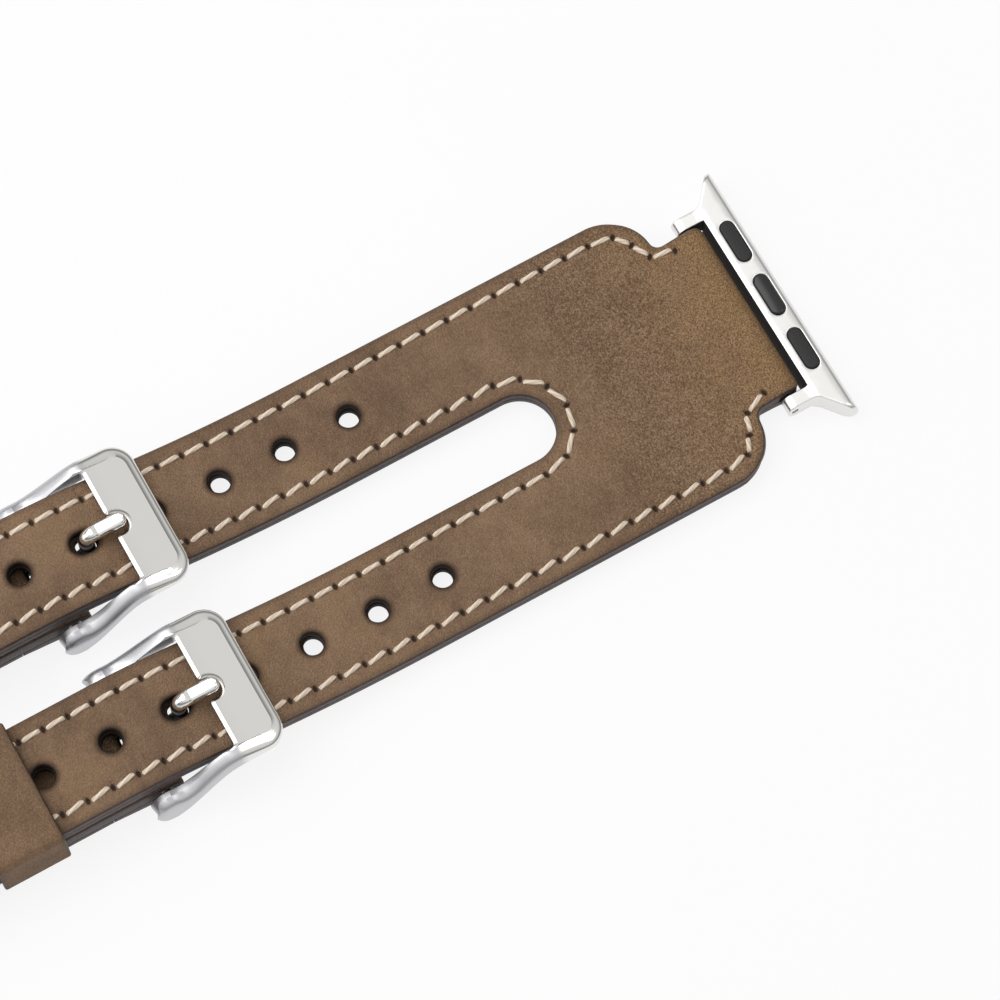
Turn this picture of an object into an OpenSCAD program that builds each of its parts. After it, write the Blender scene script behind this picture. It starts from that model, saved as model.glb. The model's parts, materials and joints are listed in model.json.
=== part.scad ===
// Twin strap leather watch band, buckled and laid flat, grain side up.
// X runs along the band, Y across it, Z up from the surface that it rests on.
// Each half is drawn in a frame of its own, with x = 0 on its lug bar and +x along the leather.

/* [Leather] */
// Width of each of the two straps
strap_w = 14.2; // [12:0.1:17]
// Width of the slot between the two straps
slot_w = 8.7; // [6:0.1:12]
// Thickness of the top leather
leather_t = 1.2; // [0.9:0.05:1.6]
// Thickness of the lining
lining_t = 1.2; // [0.8:0.05:1.6]
// Height of the flat plate's underside above the surface
plate_lift = 0.3; // [0.25:0.05:0.6]
// Distance from the lug bar to the round end of the slot
slot_x = 25.4; // [18:0.1:32]
// Width of the neck that folds round the lug bar
neck_w = 23.7; // [20:0.1:26.5]
// Radius of the plate's shoulders
shoulder_r = 5.9; // [3:0.1:8]
// Distance from the lug bar to the side of the shoulders
shoulder_x = 4.5; // [3.6:0.1:8]
// Radius of the notch between the shoulder and the neck
notch_r = 1.2; // [0.6:0.1:1.8]
// Radius of the neck's corners at the fold
neck_corner_r = 1; // [0.4:0.1:1.6]
// Length of the leather that is turned back under the neck
turn_back = 9.2; // [8:0.1:12]
// Gap between the leather's fold and the bar inside it
fold_gap = 0.1; // [0.05:0.05:0.2]

/* [Tail half] */
// Length from the lug bar to the tip of each tail
tail_len = 122; // [112:1:128]
// Diameter of the adjusting holes
hole_d = 2.7; // [2.2:0.1:3.2]
// Distance from the lug bar to the first hole
hole_first = 46.6; // [40:0.1:48]
// Distance from hole to hole
hole_pitch = 8.65; // [7:0.05:9.5]
// Number of holes in each tail
hole_count = 8; // [6:1:8]
// Hole that the tongue is in, counted from the lug
hole_used = 5; // [5:1:5]
// How far the used hole is stretched towards the tip
hole_stretch = 0.6; // [0.4:0.1:1]
// Distance from the lug bar to the start of the tails' rise
rise_x = 50.2; // [48.5:0.1:54]
// Radius of the rise's first bend
rise_r1 = 110; // [95:1:120]
// Radius of the rise's second bend
rise_r2 = 50; // [40:1:55]
// Slope of the rise in degrees
rise_a = 12.5; // [11.5:0.1:13.5]
// Gap between a tail and the strap under it
stack_gap = 0.5; // [0.45:0.05:0.8]

/* [Buckle half] */
// Length from the lug bar to the buckle bar
end_len = 78.5; // [76:0.5:90]
// Height of the straps' underside where the keepers go round them
end_lift = 1.25; // [1.2:0.05:1.5]
// Thickness of the skived leather turned back inside each strap
turned_t = 1; // [0.6:0.05:1.2]
// Distance from the lug bar to the start of the straps' rise
end_rise_x = 30; // [29:0.5:31]
// Radius of both bends of that rise
end_rise_r = 30; // [20:1:35]
// Length of the turned back leather, from the buckle bar
turned_len = 31.5; // [29:0.5:32]
// Length of each strap's thick end at the buckle bar
fold_len = 7; // [6:0.1:8]
// Width of the cut for the tongue
tongue_cut_w = 3.2; // [2.8:0.1:4]

/* [Stitching] */
// Distance from an edge to its row of stitches
stitch_inset = 2.1; // [1.6:0.1:2.8]
// Distance from stitch to stitch
stitch_pitch = 3.2; // [2.8:0.1:4]
// Length of the gap between two stitches
stitch_gap = 0.8; // [0.5:0.1:1.2]
// Width of the thread
thread_w = 0.7; // [0.5:0.05:0.9]
// Height of the thread over the leather
thread_h = 0.2; // [0.12:0.02:0.24]

/* [Lug adapter] */
// Length of the adapter across the band
adapter_l = 35; // [32:0.1:38]
// Thickness of the adapter
adapter_t = 3.6; // [3.4:0.1:3.8]
// Distance from the lug bar to the adapter's front
adapter_front = 6.55; // [6.3:0.05:7.2]
// Distance from the lug bar to the wall behind the leather
adapter_wall = 2.6; // [2.4:0.05:2.8]
// Room between the neck's sides and the adapter's arms
arm_room = 0.3; // [0.15:0.05:0.6]
// Thickness of each arm
arm_t = 1.75; // [1.5:0.05:2]
// Height of each arm
arm_h = 2.8; // [2.2:0.1:3]
// Length of each arm past the lug bar
arm_past = 0.85; // [0.7:0.05:1.2]
// Radius of the adapter's front edges
front_r = 1.2; // [0.6:0.1:1.6]
// Length of each pad and of the latch button
pad_l = 5.7; // [4.5:0.1:6.2]
// Width of each pad and of the latch button
pad_w = 1.85; // [1.5:0.05:2.1]
// Distance from pad to pad
pad_pitch = 7.9; // [6.8:0.1:8.5]
// Depth of the pads' pockets
pad_depth = 0.8; // [0.4:0.1:1.2]
// Height of the pads over the adapter
pad_proud = 0.15; // [0:0.05:0.3]
// Travel of the latch button
latch_travel = 0.8; // [0.4:0.1:1]
// Height of the latch button over the adapter
latch_proud = 0.3; // [0.2:0.05:0.5]

/* [Spring bars] */
// Diameter of the lug bar's tube
lug_bar_d = 1.5; // [1.4:0.1:1.6]
// Diameter of the buckle bar's tube
buckle_bar_d = 1.8; // [1.7:0.1:2]
// Bore of the lug bar's tube
lug_bore = 1; // [0.9:0.05:1.1]
// Bore of the buckle bar's tube
buckle_bore = 1.2; // [1:0.05:1.3]
// Diameter of the pin holes in the adapter's arms and in the buckle's ears
pin_hole_d = 0.9; // [0.8:0.05:1]
// Clearance of each sliding fit, on the radius
run_gap = 0.05; // [0.02:0.01:0.08]
// Length of each tip's body inside the tube
tip_body = 2.5; // [2:0.1:3]
// How far each tip can be pushed in
tip_travel = 1.4; // [1.2:0.1:1.6]
// Diameter of the wire of the springs
wire_d = 0.16; // [0.12:0.02:0.2]
// Rise of a spring's wire in one turn
coil_pitch = 1.15; // [0.9:0.05:1.4]

/* [Buckle] */
// Width of the buckle's opening
window_w = 15.1; // [14.9:0.1:18]
// Thickness of the buckle's side arms
side_t = 1.8; // [1.5:0.1:2.2]
// Distance from the buckle bar to the front bar's inner edge
bar_x = 8.9; // [8.6:0.1:9.4]
// Width of the front bar
bar_w = 6.2; // [5:0.1:7]
// Thickness of the front bar
bar_t = 1.3; // [1:0.05:1.6]
// Gap between the front bar and the stitches under it
bar_gap = 0.2; // [0.15:0.05:0.4]
// Height of the side arms at their narrowest
side_h = 2.6; // [2.2:0.1:3]
// Radius of the ears
ear_r = 2.15; // [1.9:0.05:2.2]
// How far each ear stands out past the front bar's end
ear_flare = 0.4; // [0:0.1:0.8]
// Radius of the front bar's outer corners
corner_r = 2.8; // [1.5:0.1:4]
// Depth of the pin hole in each ear
ear_hole = 1.3; // [1:0.1:1.5]

/* [Tongue] */
// Diameter of the tongue
tongue_d = 1.9; // [1.5:0.1:2]
// Distance from the buckle bar to the upright part of the tongue
tongue_x = 5.5; // [5.2:0.1:5.7]
// Radius of the tongue's lower bend
crank_r = 1.8; // [1.4:0.1:2]
// Radius of the tongue's upper bend
crown_r = 1.4; // [1.1:0.1:1.6]
// Distance from the buckle bar to the tongue's tip
tongue_len = 10.8; // [10.2:0.1:11.4]
// Depth of the tongue's seat in the front bar
seat_depth = 0.75; // [0.5:0.05:0.9]
// Width of the tongue's eye
eye_w = 2.6; // [2:0.1:2.7]
// Wall of the tongue's eye
eye_wall = 0.65; // [0.5:0.05:0.8]

/* [Keepers] */
// Thickness of the keepers' leather
keeper_t = 0.85; // [0.7:0.05:0.9]
// Length of the fixed keeper along the strap
fixed_keeper_l = 8.5; // [6:0.1:10]
// Distance from the buckle bar to the fixed keeper
fixed_keeper_x = 13; // [12:0.1:14]
// Length of the loose keeper along the strap
loose_keeper_l = 6.5; // [5:0.1:8]
// Distance from the fixed keeper to the loose keeper
keeper_space = 6; // [5.8:0.1:7]
// Room between a keeper and the straps in it
keeper_room = 0.3; // [0.2:0.05:0.4]

/* [Hidden] */
$fn = 96;

tan_leather = [0.5, 0.38, 0.27];
edge_leather = [0.42, 0.31, 0.23];
cream = [0.88, 0.83, 0.74];
satin = [0.86, 0.86, 0.85];
steel = [0.76, 0.76, 0.75];
black_rubber = [0.1, 0.1, 0.11];
spring_wire = [0.6, 0.6, 0.62];

left = 1;
right = -1;

plate_w = 2 * strap_w + slot_w;
strap_y = (slot_w + strap_w) / 2;
seam_z = plate_lift + lining_t;
plate_top = seam_z + leather_t;
wide = plate_w + 4;

lug_fold_r = lug_bar_d / 2 + fold_gap + leather_t;
end_fold_r = buckle_bar_d / 2 + fold_gap + leather_t;
lug_z = lug_fold_r;
bar_z = end_fold_r;

end_top = end_lift + lining_t + turned_t + leather_t;
tail_rise = end_top + stack_gap - plate_lift;
tall = plate_top + tail_rise + 2 * tongue_d + bar_t;
end_rise = end_lift - plate_lift;
end_rise_a = acos(1 - end_rise / (2 * end_rise_r));

// A bend is [start x, first radius, straight length, second radius, angle].
tail_straight = (tail_rise - (rise_r1 + rise_r2) * (1 - cos(rise_a))) / sin(rise_a);
tail_bend = [rise_x, rise_r1, tail_straight, rise_r2, rise_a];
end_bend = [end_rise_x, end_rise_r, 0, end_rise_r, end_rise_a];

hole_at = hole_first + (hole_used - 1) * hole_pitch;
bar_from_tail = hole_at + tongue_x;
span = bar_from_tail + end_len;

turned_x = end_len - turned_len;
turned_ramp = 4;
neck_ramp = 2.5;
neck_toe = 1.7;
stitch_lift = 0.02;
bend_step = 1.25;

adapter_gap = neck_w + 2 * arm_room;
arm_y = adapter_gap / 2 + arm_t;
flare_r = 1.5;
nose_t = 0.7;
flare_x = 0.35;

window = window_w / 2;
side_y = window + side_t;
bar_front = bar_x + bar_w;

function bend_x1(b) = b[0] + b[1] * sin(b[4]);
function bend_x2(b) = bend_x1(b) + b[2] * cos(b[4]);
function bend_x3(b) = bend_x2(b) + b[3] * sin(b[4]);
function bend_z1(b) = b[1] * (1 - cos(b[4]));
function bend_rise(b) = bend_z1(b) + b[2] * sin(b[4]) + b[3] * (1 - cos(b[4]));

// Height of a bent strap over its flat start, and its slope, at a distance x.
function lift(b, x) =
    x < b[0] ? 0 :
    x < bend_x1(b) ? b[1] - sqrt(b[1] * b[1] - pow(x - b[0], 2)) :
    x < bend_x2(b) ? bend_z1(b) + (x - bend_x1(b)) * tan(b[4]) :
    x < bend_x3(b) ? bend_rise(b) - b[3] + sqrt(b[3] * b[3] - pow(bend_x3(b) - x, 2)) :
    bend_rise(b);
function slope(b, x) =
    x < b[0] ? 0 :
    x < bend_x1(b) ? asin((x - b[0]) / b[1]) :
    x < bend_x2(b) ? b[4] :
    x < bend_x3(b) ? asin((bend_x3(b) - x) / b[3]) :
    0;

// Distances at which a bent strap is drawn, and the point at a height h over its seam.
function bend_xs(b, from, to) =
    let (n = ceil(b[4] / bend_step))
    concat(
        [from], [for (i = [0 : n]) b[0] + b[1] * sin(b[4] * i / n)],
        [for (i = [(b[2] > 0 ? n : n - 1) : -1 : 0]) bend_x3(b) - b[3] * sin(b[4] * i / n)], [to]
    );
function bent(b, x, h) = [x - h * sin(slope(b, x)), lift(b, x) + h * cos(slope(b, x))];

function mix(a, b, t) = a + (b - a) * t;
function clamp(t) = min(1, max(0, t));
function ease(t) = t * t * (3 - 2 * t);

// Underside of the front bar over the bar's own axis, clear of the tail and its stitches.
function tail_top_at(x) = plate_top + lift(tail_bend, bar_from_tail - x) - bar_z;
bar_low_in = tail_top_at(bar_x) + thread_h + bar_gap;
bar_low_out = tail_top_at(bar_front) + thread_h + bar_gap;
bar_high_in = bar_low_in + bar_t;
bar_high_out = bar_low_out + bar_t;
tongue_z = bar_high_in - seat_depth + tongue_d / 2 + 0.1;

// Middle and height of the buckle's side arm at a distance x from the buckle bar.
side_mid_in = bar_high_in - 1.45;
side_h_in = 2.9;
function side_mid(x) =
    x < bar_x ? side_mid_in * ease(clamp(x / bar_x)) :
    mix(side_mid_in, (bar_low_out + bar_high_out) / 2, (x - bar_x) / bar_w);
function side_high(x) =
    x < bar_x ? mix(side_h, side_h_in, x / bar_x)
        + (2 * ear_r - side_h) * pow(clamp(1 - x / 4), 2) :
    mix(side_h_in, bar_t, (x - bar_x) / bar_w);

module tail_side() {
    translate([span / 2, 0, 0]) rotate([0, 0, 180]) children();
}

module end_side() {
    translate([-span / 2, 0, 0]) children();
}

module buckle_side(side) {
    end_side() translate([end_len, side * strap_y, bar_z]) children();
}

module both_sides() {
    children();
    mirror([0, 1, 0]) children();
}

// Solid with the XZ outline of its child, w wide and centred on y = 0.
module across(w) {
    translate([0, w / 2, 0]) rotate([90, 0, 0]) linear_extrude(w) children();
}

module stadium(l, w) {
    square([w, l - w], center = true);
    for (s = [-1, 1]) translate([0, s * (l - w) / 2]) circle(d = w);
}

module rounded_box(x0, y0, x1, y1, r) {
    translate([x0 + r, y0]) square([x1 - x0 - 2 * r, y1 - y0]);
    translate([x0, y0 + r]) square([x1 - x0, y1 - y0 - 2 * r]);
    for (x = [x0 + r, x1 - r], y = [y0 + r, y1 - r]) translate([x, y]) circle(r);
}

// One layer of leather that follows a bend, between two heights over the seam.
module layer(b, from, to, low, high) {
    xs = bend_xs(b, from, to);
    last = len(xs) - 1;
    across(wide) polygon(concat(
        [for (i = [0 : last]) bent(b, xs[i], low)],
        [for (i = [last : -1 : 0]) bent(b, xs[i], high)]
    ));
}

// Plan outline that both halves share: neck, notches, shoulders and the plate with its slot.
module plate_plan(len) {
    cx = shoulder_x + shoulder_r;
    cy = plate_w / 2 - shoulder_r;
    neck = neck_w / 2;
    difference() {
        union() {
            translate([-lug_fold_r + neck_corner_r, -neck]) square([cx, neck_w]);
            translate([-lug_fold_r, -neck + neck_corner_r])
                square([cx, neck_w - 2 * neck_corner_r]);
            for (s = [-1, 1]) {
                translate([-lug_fold_r + neck_corner_r, s * (neck - neck_corner_r)])
                    circle(neck_corner_r);
                translate([cx, s * cy]) circle(shoulder_r);
            }
            translate([cx, -plate_w / 2]) square([len - cx, plate_w]);
            translate([shoulder_x, -cy]) square([shoulder_r, 2 * cy]);
            translate([shoulder_x - notch_r, -neck - notch_r])
                square([2 * notch_r, neck_w + 2 * notch_r]);
        }
        for (s = [-1, 1]) translate([shoulder_x - notch_r, s * (neck + notch_r)]) circle(notch_r);
        translate([slot_x + slot_w / 2, 0]) circle(d = slot_w);
        translate([slot_x + slot_w / 2, -slot_w / 2]) square([len, slot_w]);
    }
}

module tail_plan() {
    tip = tail_len - strap_w / 2;
    intersection() {
        plate_plan(tail_len);
        union() {
            translate([-10, -wide / 2]) square([tip + 10, wide]);
            for (s = [-1, 1]) translate([tip, s * strap_y]) circle(d = strap_w);
        }
    }
}

// Side outline of the leather folded round the lug bar and glued to itself.
module neck_profile() {
    translate([0, lug_z]) circle(lug_fold_r);
    polygon([
        [0, 0], [neck_toe, plate_lift], [turn_back, plate_lift],
        [turn_back, plate_top], [turn_back - neck_ramp, plate_top], [0, 2 * lug_fold_r]
    ]);
}

module holes() {
    for (i = [0 : hole_count - 1], s = [-1, 1])
        translate([hole_first + i * hole_pitch, s * strap_y, -1]) cylinder(h = tall, d = hole_d);
    for (s = [-1, 1])
        translate([hole_at + hole_stretch, s * strap_y, -1]) cylinder(h = tall, d = hole_d);
}

module lug_bar_hole() {
    translate([0, wide / 2, lug_z]) rotate([90, 0, 0])
        cylinder(h = wide, r = lug_bar_d / 2 + fold_gap);
}

module tail_half_leather() {
    color(tan_leather) difference() {
        intersection() {
            union() {
                translate([0, 0, seam_z])
                    layer(tail_bend, turn_back - 0.5, tail_len, 0, leather_t);
                across(wide) neck_profile();
            }
            translate([0, 0, -1]) linear_extrude(tall) tail_plan();
        }
        holes();
        lug_bar_hole();
    }
}

module tail_half_lining() {
    color(edge_leather) difference() {
        intersection() {
            translate([0, 0, seam_z])
                layer(tail_bend, turn_back, tail_len, -lining_t, 0);
            translate([0, 0, -1]) linear_extrude(tall) tail_plan();
        }
        holes();
    }
}

// Side outline of the straps' thick ends, folded round the buckle bars.
module end_fold_profile() {
    translate([end_len, bar_z]) circle(end_fold_r);
    polygon([
        [end_len - fold_len, end_lift], [end_len, 0],
        [end_len, 2 * end_fold_r], [end_len - fold_len, end_top]
    ]);
}

// Side outline of the leather that is turned back on top of the lining.
module turned_profile() {
    seam = end_lift + lining_t;
    polygon([
        [turned_x, seam + 0.5 * leather_t], [turned_x + turned_ramp, seam],
        [end_len - fold_len, seam], [end_len - fold_len, end_top],
        [turned_x + turned_ramp, end_top], [turned_x, seam + leather_t]
    ]);
}

module end_plan() {
    plate_plan(end_len + end_fold_r);
}

module buckle_half_leather() {
    color(tan_leather) difference() {
        intersection() {
            union() {
                translate([0, 0, seam_z])
                    layer(end_bend, turn_back - 0.5, end_len - fold_len, 0, leather_t);
                across(wide) neck_profile();
                across(wide) turned_profile();
                across(wide) end_fold_profile();
            }
            translate([0, 0, -1]) linear_extrude(tall) end_plan();
        }
        lug_bar_hole();
        translate([end_len, wide / 2, bar_z]) rotate([90, 0, 0])
            cylinder(h = wide, r = buckle_bar_d / 2 + fold_gap);
        for (s = [-1, 1])
            translate([end_len - end_fold_r - 0.1, s * strap_y - tongue_cut_w / 2, -1])
                cube([2 * end_fold_r + 1, tongue_cut_w, tall]);
    }
}

module buckle_half_lining() {
    color(edge_leather) intersection() {
        translate([0, 0, seam_z])
            layer(end_bend, turn_back, end_len - fold_len, -lining_t, 0);
        translate([0, 0, -1]) linear_extrude(tall) end_plan();
    }
}

// Points that the thread passes through, as lists of [x, y].
function row(x0, x1, y) =
    let (n = round(abs(x1 - x0) / stitch_pitch))
    [for (i = [0 : n]) [mix(x0, x1, i / n), y]];
function arc(cx, cy, r, a0, a1) =
    let (n = round(r * abs(a1 - a0) * PI / 180 / stitch_pitch))
    [for (i = [0 : n]) let (a = mix(a0, a1, i / n)) [cx + r * cos(a), cy + r * sin(a)]];
function neck_run() =
    let (cx = shoulder_x + shoulder_r, cy = plate_w / 2 - shoulder_r, r = shoulder_r - 1.7)
    concat([[shoulder_x - stitch_inset, neck_w / 2 - 1.4], [shoulder_x + 0.8, neck_w / 2 - 0.35]],
        arc(cx, cy, r, 162, 128));

row_out = plate_w / 2 - stitch_inset;
row_in = slot_w / 2 + stitch_inset;
row_x0 = shoulder_x + shoulder_r + 0.6;
slot_cx = slot_x + slot_w / 2;
tail_tip_x = tail_len - strap_w / 2;
end_row_x = end_len - fold_len - 0.6;

outer_runs_tail = [
    neck_run(), row(row_x0, tail_tip_x, row_out),
    arc(tail_tip_x, strap_y, strap_w / 2 - stitch_inset, 90, -90), row(tail_tip_x, slot_cx, row_in)
];
outer_runs_end = [neck_run(), row(row_x0, end_row_x, row_out), row(end_row_x, slot_cx, row_in)];
slot_run = arc(slot_cx, 0, row_in, 90, 270);

// Height over the seam of a strap's grain side (up = 1) or lining side (up = -1) at a distance x.
function turned_part(x) = clamp((x - turned_x) / turned_ramp);
function face(b, x, up, thicker) =
    lift(b, x) + (up > 0 ? leather_t : -lining_t) / cos(slope(b, x))
        + (up > 0 ? (2 * lug_fold_r - plate_top) * clamp(1 - x / (turn_back - neck_ramp)) :
            -plate_lift * clamp(1 - x / neck_toe))
        + (thicker && up > 0 ? turned_t * turned_part(x) : 0);

// One stitch, lying flat on the leather with its length along x.
module stitch(l) {
    translate([0, 0, stitch_lift]) linear_extrude(thread_h - stitch_lift)
        rotate(90) stadium(l, thread_w);
}

// Stitches between the points of one run, on one side of a bent strap.
module stitch_run(points, b, up, thicker) {
    for (i = [1 : len(points) - 1]) {
        p = points[i - 1];
        q = points[i];
        mid = (p + q) / 2;
        half = max(abs(q[0] - p[0]) / 2, stitch_gap / 4);
        over = [for (x = [mid[0] - half, mid[0], mid[0] + half]) face(b, x, up, thicker)];
        tilt = atan((over[2] - over[0]) / (2 * half));
        z = up * max(up * over[1], up * (over[0] + over[2]) / 2);
        bump = thicker && mid[0] + half > turned_x && mid[0] - half < turned_x + turned_ramp;
        if (!bump)
            translate([mid[0], mid[1], z]) rotate([0, -tilt, 0])
                rotate([0, 0, atan2(q[1] - p[1], q[0] - p[0])])
                    mirror([0, 0, up > 0 ? 0 : 1]) stitch(norm(q - p) - stitch_gap);
    }
}

module stitching(runs, b, up, thicker) {
    color(cream) translate([0, 0, seam_z]) {
        both_sides() for (run = runs) stitch_run(run, b, up, thicker);
        stitch_run(slot_run, b, up, false);
    }
}

// Wire coil along +z from z = 0, made as one closed tube of six sides.
function coil_point(r, l, turns, t) = [r * cos(360 * turns * t), r * sin(360 * turns * t), l * t];
module coil(r, l) {
    turns = max(2, floor((l - wire_d) / coil_pitch));
    steps = turns * 8;
    sides = 6;
    w = wire_d / 2;
    points = [
        for (i = [0 : steps], j = [0 : sides - 1])
        let (
            c = coil_point(r, l - wire_d, turns, i / steps) + [0, 0, w],
            a = 360 * turns * i / steps,
            out = [cos(a), sin(a), 0]
        )
        c + w * cos(360 * j / sides) * out + w * sin(360 * j / sides) * [0, 0, 1]
    ];
    caps = [[for (j = [0 : sides - 1]) j], [for (j = [0 : sides - 1])
        steps * sides + sides - 1 - j]];
    walls = [
        for (i = [0 : steps - 1], j = [0 : sides - 1], k = [0, 1])
        let (a = i * sides + j, b = i * sides + (j + 1) % sides)
        k == 0 ? [a, a + sides, b] : [b, a + sides, b + sides]
    ];
    color(spring_wire) polyhedron(points, concat(caps, walls));
}
echo(coil_gap = coil_pitch - wire_d);

// Adapter: a rail for the watch case's slot, with two arms that hold the lug bar.
module adapter_plan() {
    nose = adapter_l / 2;
    flare = [-adapter_wall - flare_x, arm_y];
    half = atan2(nose - arm_y, flare[0] + adapter_front - nose_t);
    turn = (180 - half) / 2;
    reach = flare_r / tan(turn);
    both_sides() difference() {
        polygon([
            [-adapter_front, -1], [-adapter_front, nose], [-adapter_front + nose_t, nose],
            flare + reach * [-cos(half), sin(half)], flare + [reach, 0],
            [arm_past, arm_y], [arm_past, adapter_gap / 2],
            [-adapter_wall, adapter_gap / 2], [-adapter_wall, -1]
        ]);
        translate(flare + [reach, flare_r] + 0.02 * [sin(half / 2), cos(half / 2)])
            circle(flare_r);
    }
}

module adapter_profile() {
    rounded_box(-adapter_front, 0, 0, adapter_t, front_r);
}

module arm_profile() {
    rounded_box(-adapter_wall - 1, lug_z - arm_h / 2, arm_past, lug_z + arm_h / 2, 0.6);
}

pad_x = -(adapter_front + adapter_wall) / 2;

module lug_adapter() {
    color(satin) difference() {
        intersection() {
            translate([0, 0, -1]) linear_extrude(adapter_t + 2) adapter_plan();
            union() {
                intersection() {
                    across(adapter_l) adapter_profile();
                    translate([-adapter_front - 1, -wide, -1])
                        cube([adapter_front - adapter_wall + 1, 2 * wide, adapter_t + 2]);
                }
                across(2 * arm_y) arm_profile();
            }
            translate([-adapter_front - 1, 0, 0]) rotate([90, 0, 90]) linear_extrude(20)
                rounded_box(-adapter_l / 2, 0, adapter_l / 2, adapter_t, front_r);
        }
        translate([0, adapter_l / 2, lug_z]) rotate([90, 0, 0])
            cylinder(h = adapter_l, d = pin_hole_d);
        for (s = [-1, 1])
            translate([pad_x, s * pad_pitch, adapter_t - pad_depth])
                linear_extrude(pad_depth + 1) stadium(pad_l, pad_w);
        translate([pad_x, 0, latch_low - latch_travel - 0.1])
            linear_extrude(adapter_t) stadium(pad_l + 2 * run_gap, pad_w + 2 * run_gap);
    }
}

latch_low = adapter_t - 1.7;
latch_well = latch_low - latch_travel - 0.1;
latch_roof = adapter_t - 0.4;

module lug_pad(side) {
    color(black_rubber) translate([pad_x, side * pad_pitch, adapter_t - pad_depth])
        linear_extrude(pad_depth + pad_proud) stadium(pad_l, pad_w);
}

module latch_button() {
    color(black_rubber) translate([pad_x, 0, 0]) difference() {
        translate([0, 0, latch_low])
            linear_extrude(adapter_t + latch_proud - latch_low) stadium(pad_l, pad_w);
        translate([0, 0, latch_low - 1]) cylinder(h = latch_roof - latch_low + 1, r = 0.6);
    }
}

module latch_spring() {
    translate([pad_x, 0, latch_well]) coil(0.42, latch_roof - latch_well - 0.02);
}

// Spring bar along y: a tube, a tip at each end and a coil that pushes them apart.
module bar_tube(d, bore, half) {
    color(steel) rotate([90, 0, 0]) difference() {
        cylinder(h = 2 * half, d = d, center = true);
        cylinder(h = 2 * half + 1, d = bore, center = true);
    }
}

module bar_tip(side, bore, half, reach) {
    color(steel) mirror([0, side > 0 ? 0 : 1, 0]) rotate([-90, 0, 0]) {
        translate([0, 0, half - tip_body]) cylinder(h = tip_body - 0.3, d = bore - 2 * run_gap);
        translate([0, 0, half - 0.3]) cylinder(h = reach - half + 0.3, d = pin_hole_d - 2 * run_gap);
    }
}

module bar_spring(bore, half) {
    free = half - tip_body - 0.05;
    translate([0, free, 0]) rotate([90, 0, 0]) coil(bore / 2 - wire_d / 2 - 0.06, 2 * free);
}

lug_half = neck_w / 2 - 0.3;
lug_reach = adapter_gap / 2 + arm_t - 0.35;
bar_half = strap_w / 2 - 0.2;
bar_reach = window + ear_hole - 0.15;

module lug_bar() {
    translate([0, 0, lug_z]) children();
}

// Buckle: a front bar on two curved side arms, with the ears that hold the buckle bar.
module side_profile() {
    steps = 30;
    high = [for (i = [0 : steps]) let (x = bar_front * i / steps)
        [x, side_mid(x) + side_high(x) / 2]];
    low = [for (i = [steps : -1 : 0]) let (x = bar_front * i / steps)
        [x, side_mid(x) - side_high(x) / 2]];
    polygon(concat(high, low));
    translate([-0.4, 0]) circle(ear_r);
    translate([-0.4, -ear_r]) square([0.5, 2 * ear_r]);
}

module bar_profile() {
    polygon([
        [bar_x, bar_low_in], [bar_front, bar_low_out],
        [bar_front, bar_high_out], [bar_x, bar_high_in]
    ]);
}

module frame_plan() {
    out = side_y + ear_flare;
    intersection() {
        rounded_box(-ear_r - 5, -side_y - 1, bar_front, side_y + 1, corner_r);
        polygon([
            [-ear_r - 1, -out], [1, -out], [bar_x - 1, -side_y], [bar_front, -side_y],
            [bar_front, side_y], [bar_x - 1, side_y], [1, out], [-ear_r - 1, out]
        ]);
    }
}

module frame_corners() {
    rounded_box(-ear_r - 8, -side_y, bar_front, side_y, corner_r);
}

module buckle_frame() {
    out = side_y + ear_flare;
    color(steel) difference() {
        intersection() {
            union() {
                difference() {
                    across(2 * out) side_profile();
                    translate([-10, -window, -10]) cube([40, window_w, 30]);
                }
                across(window_w + 0.2) bar_profile();
            }
            translate([0, 0, -5]) linear_extrude(tall) union() {
                intersection() {
                    frame_plan();
                    translate([-20, -wide]) square([20 + bar_x, 2 * wide]);
                }
                frame_corners();
            }
        }
        for (s = [-1, 1]) translate([0, s * (window + ear_hole / 2 - 0.5), 0])
            rotate([90, 0, 0]) cylinder(h = ear_hole + 1, d = pin_hole_d, center = true);
        translate([bar_x - 1, 0, tongue_z]) rotate([0, 90, 0])
            cylinder(h = tongue_len - bar_x + 0.6, d = tongue_d + 0.2);
        translate([tongue_len - 0.4, 0, tongue_z]) sphere(d = tongue_d + 0.2);
    }
}

// Tongue: an eye on the buckle bar and a rod that is cranked up through the hole.
module tongue() {
    r = tongue_d / 2;
    color(steel) difference() {
        union() {
            rotate([90, 0, 0])
                cylinder(h = eye_w, d = buckle_bar_d + 2 * run_gap + 2 * eye_wall, center = true);
            rotate([0, 90, 0]) cylinder(h = tongue_x - crank_r, r = r);
            translate([tongue_x - crank_r, 0, crank_r]) rotate([90, 0, 0]) rotate([0, 0, -90])
                rotate_extrude(angle = 90) translate([crank_r, 0]) circle(r);
            translate([tongue_x, 0, crank_r])
                cylinder(h = tongue_z - crown_r - crank_r, r = r);
            translate([tongue_x + crown_r, 0, tongue_z - crown_r]) rotate([90, 0, 0])
                rotate([0, 0, 90]) rotate_extrude(angle = 90) translate([crown_r, 0]) circle(r);
            translate([tongue_x + crown_r, 0, tongue_z]) rotate([0, 90, 0])
                cylinder(h = tongue_len - r - tongue_x - crown_r, r = r);
            translate([tongue_len - r, 0, tongue_z]) sphere(r);
        }
        rotate([90, 0, 0])
            cylinder(h = 2 * eye_w, r = buckle_bar_d / 2 + run_gap, center = true);
    }
}

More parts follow.
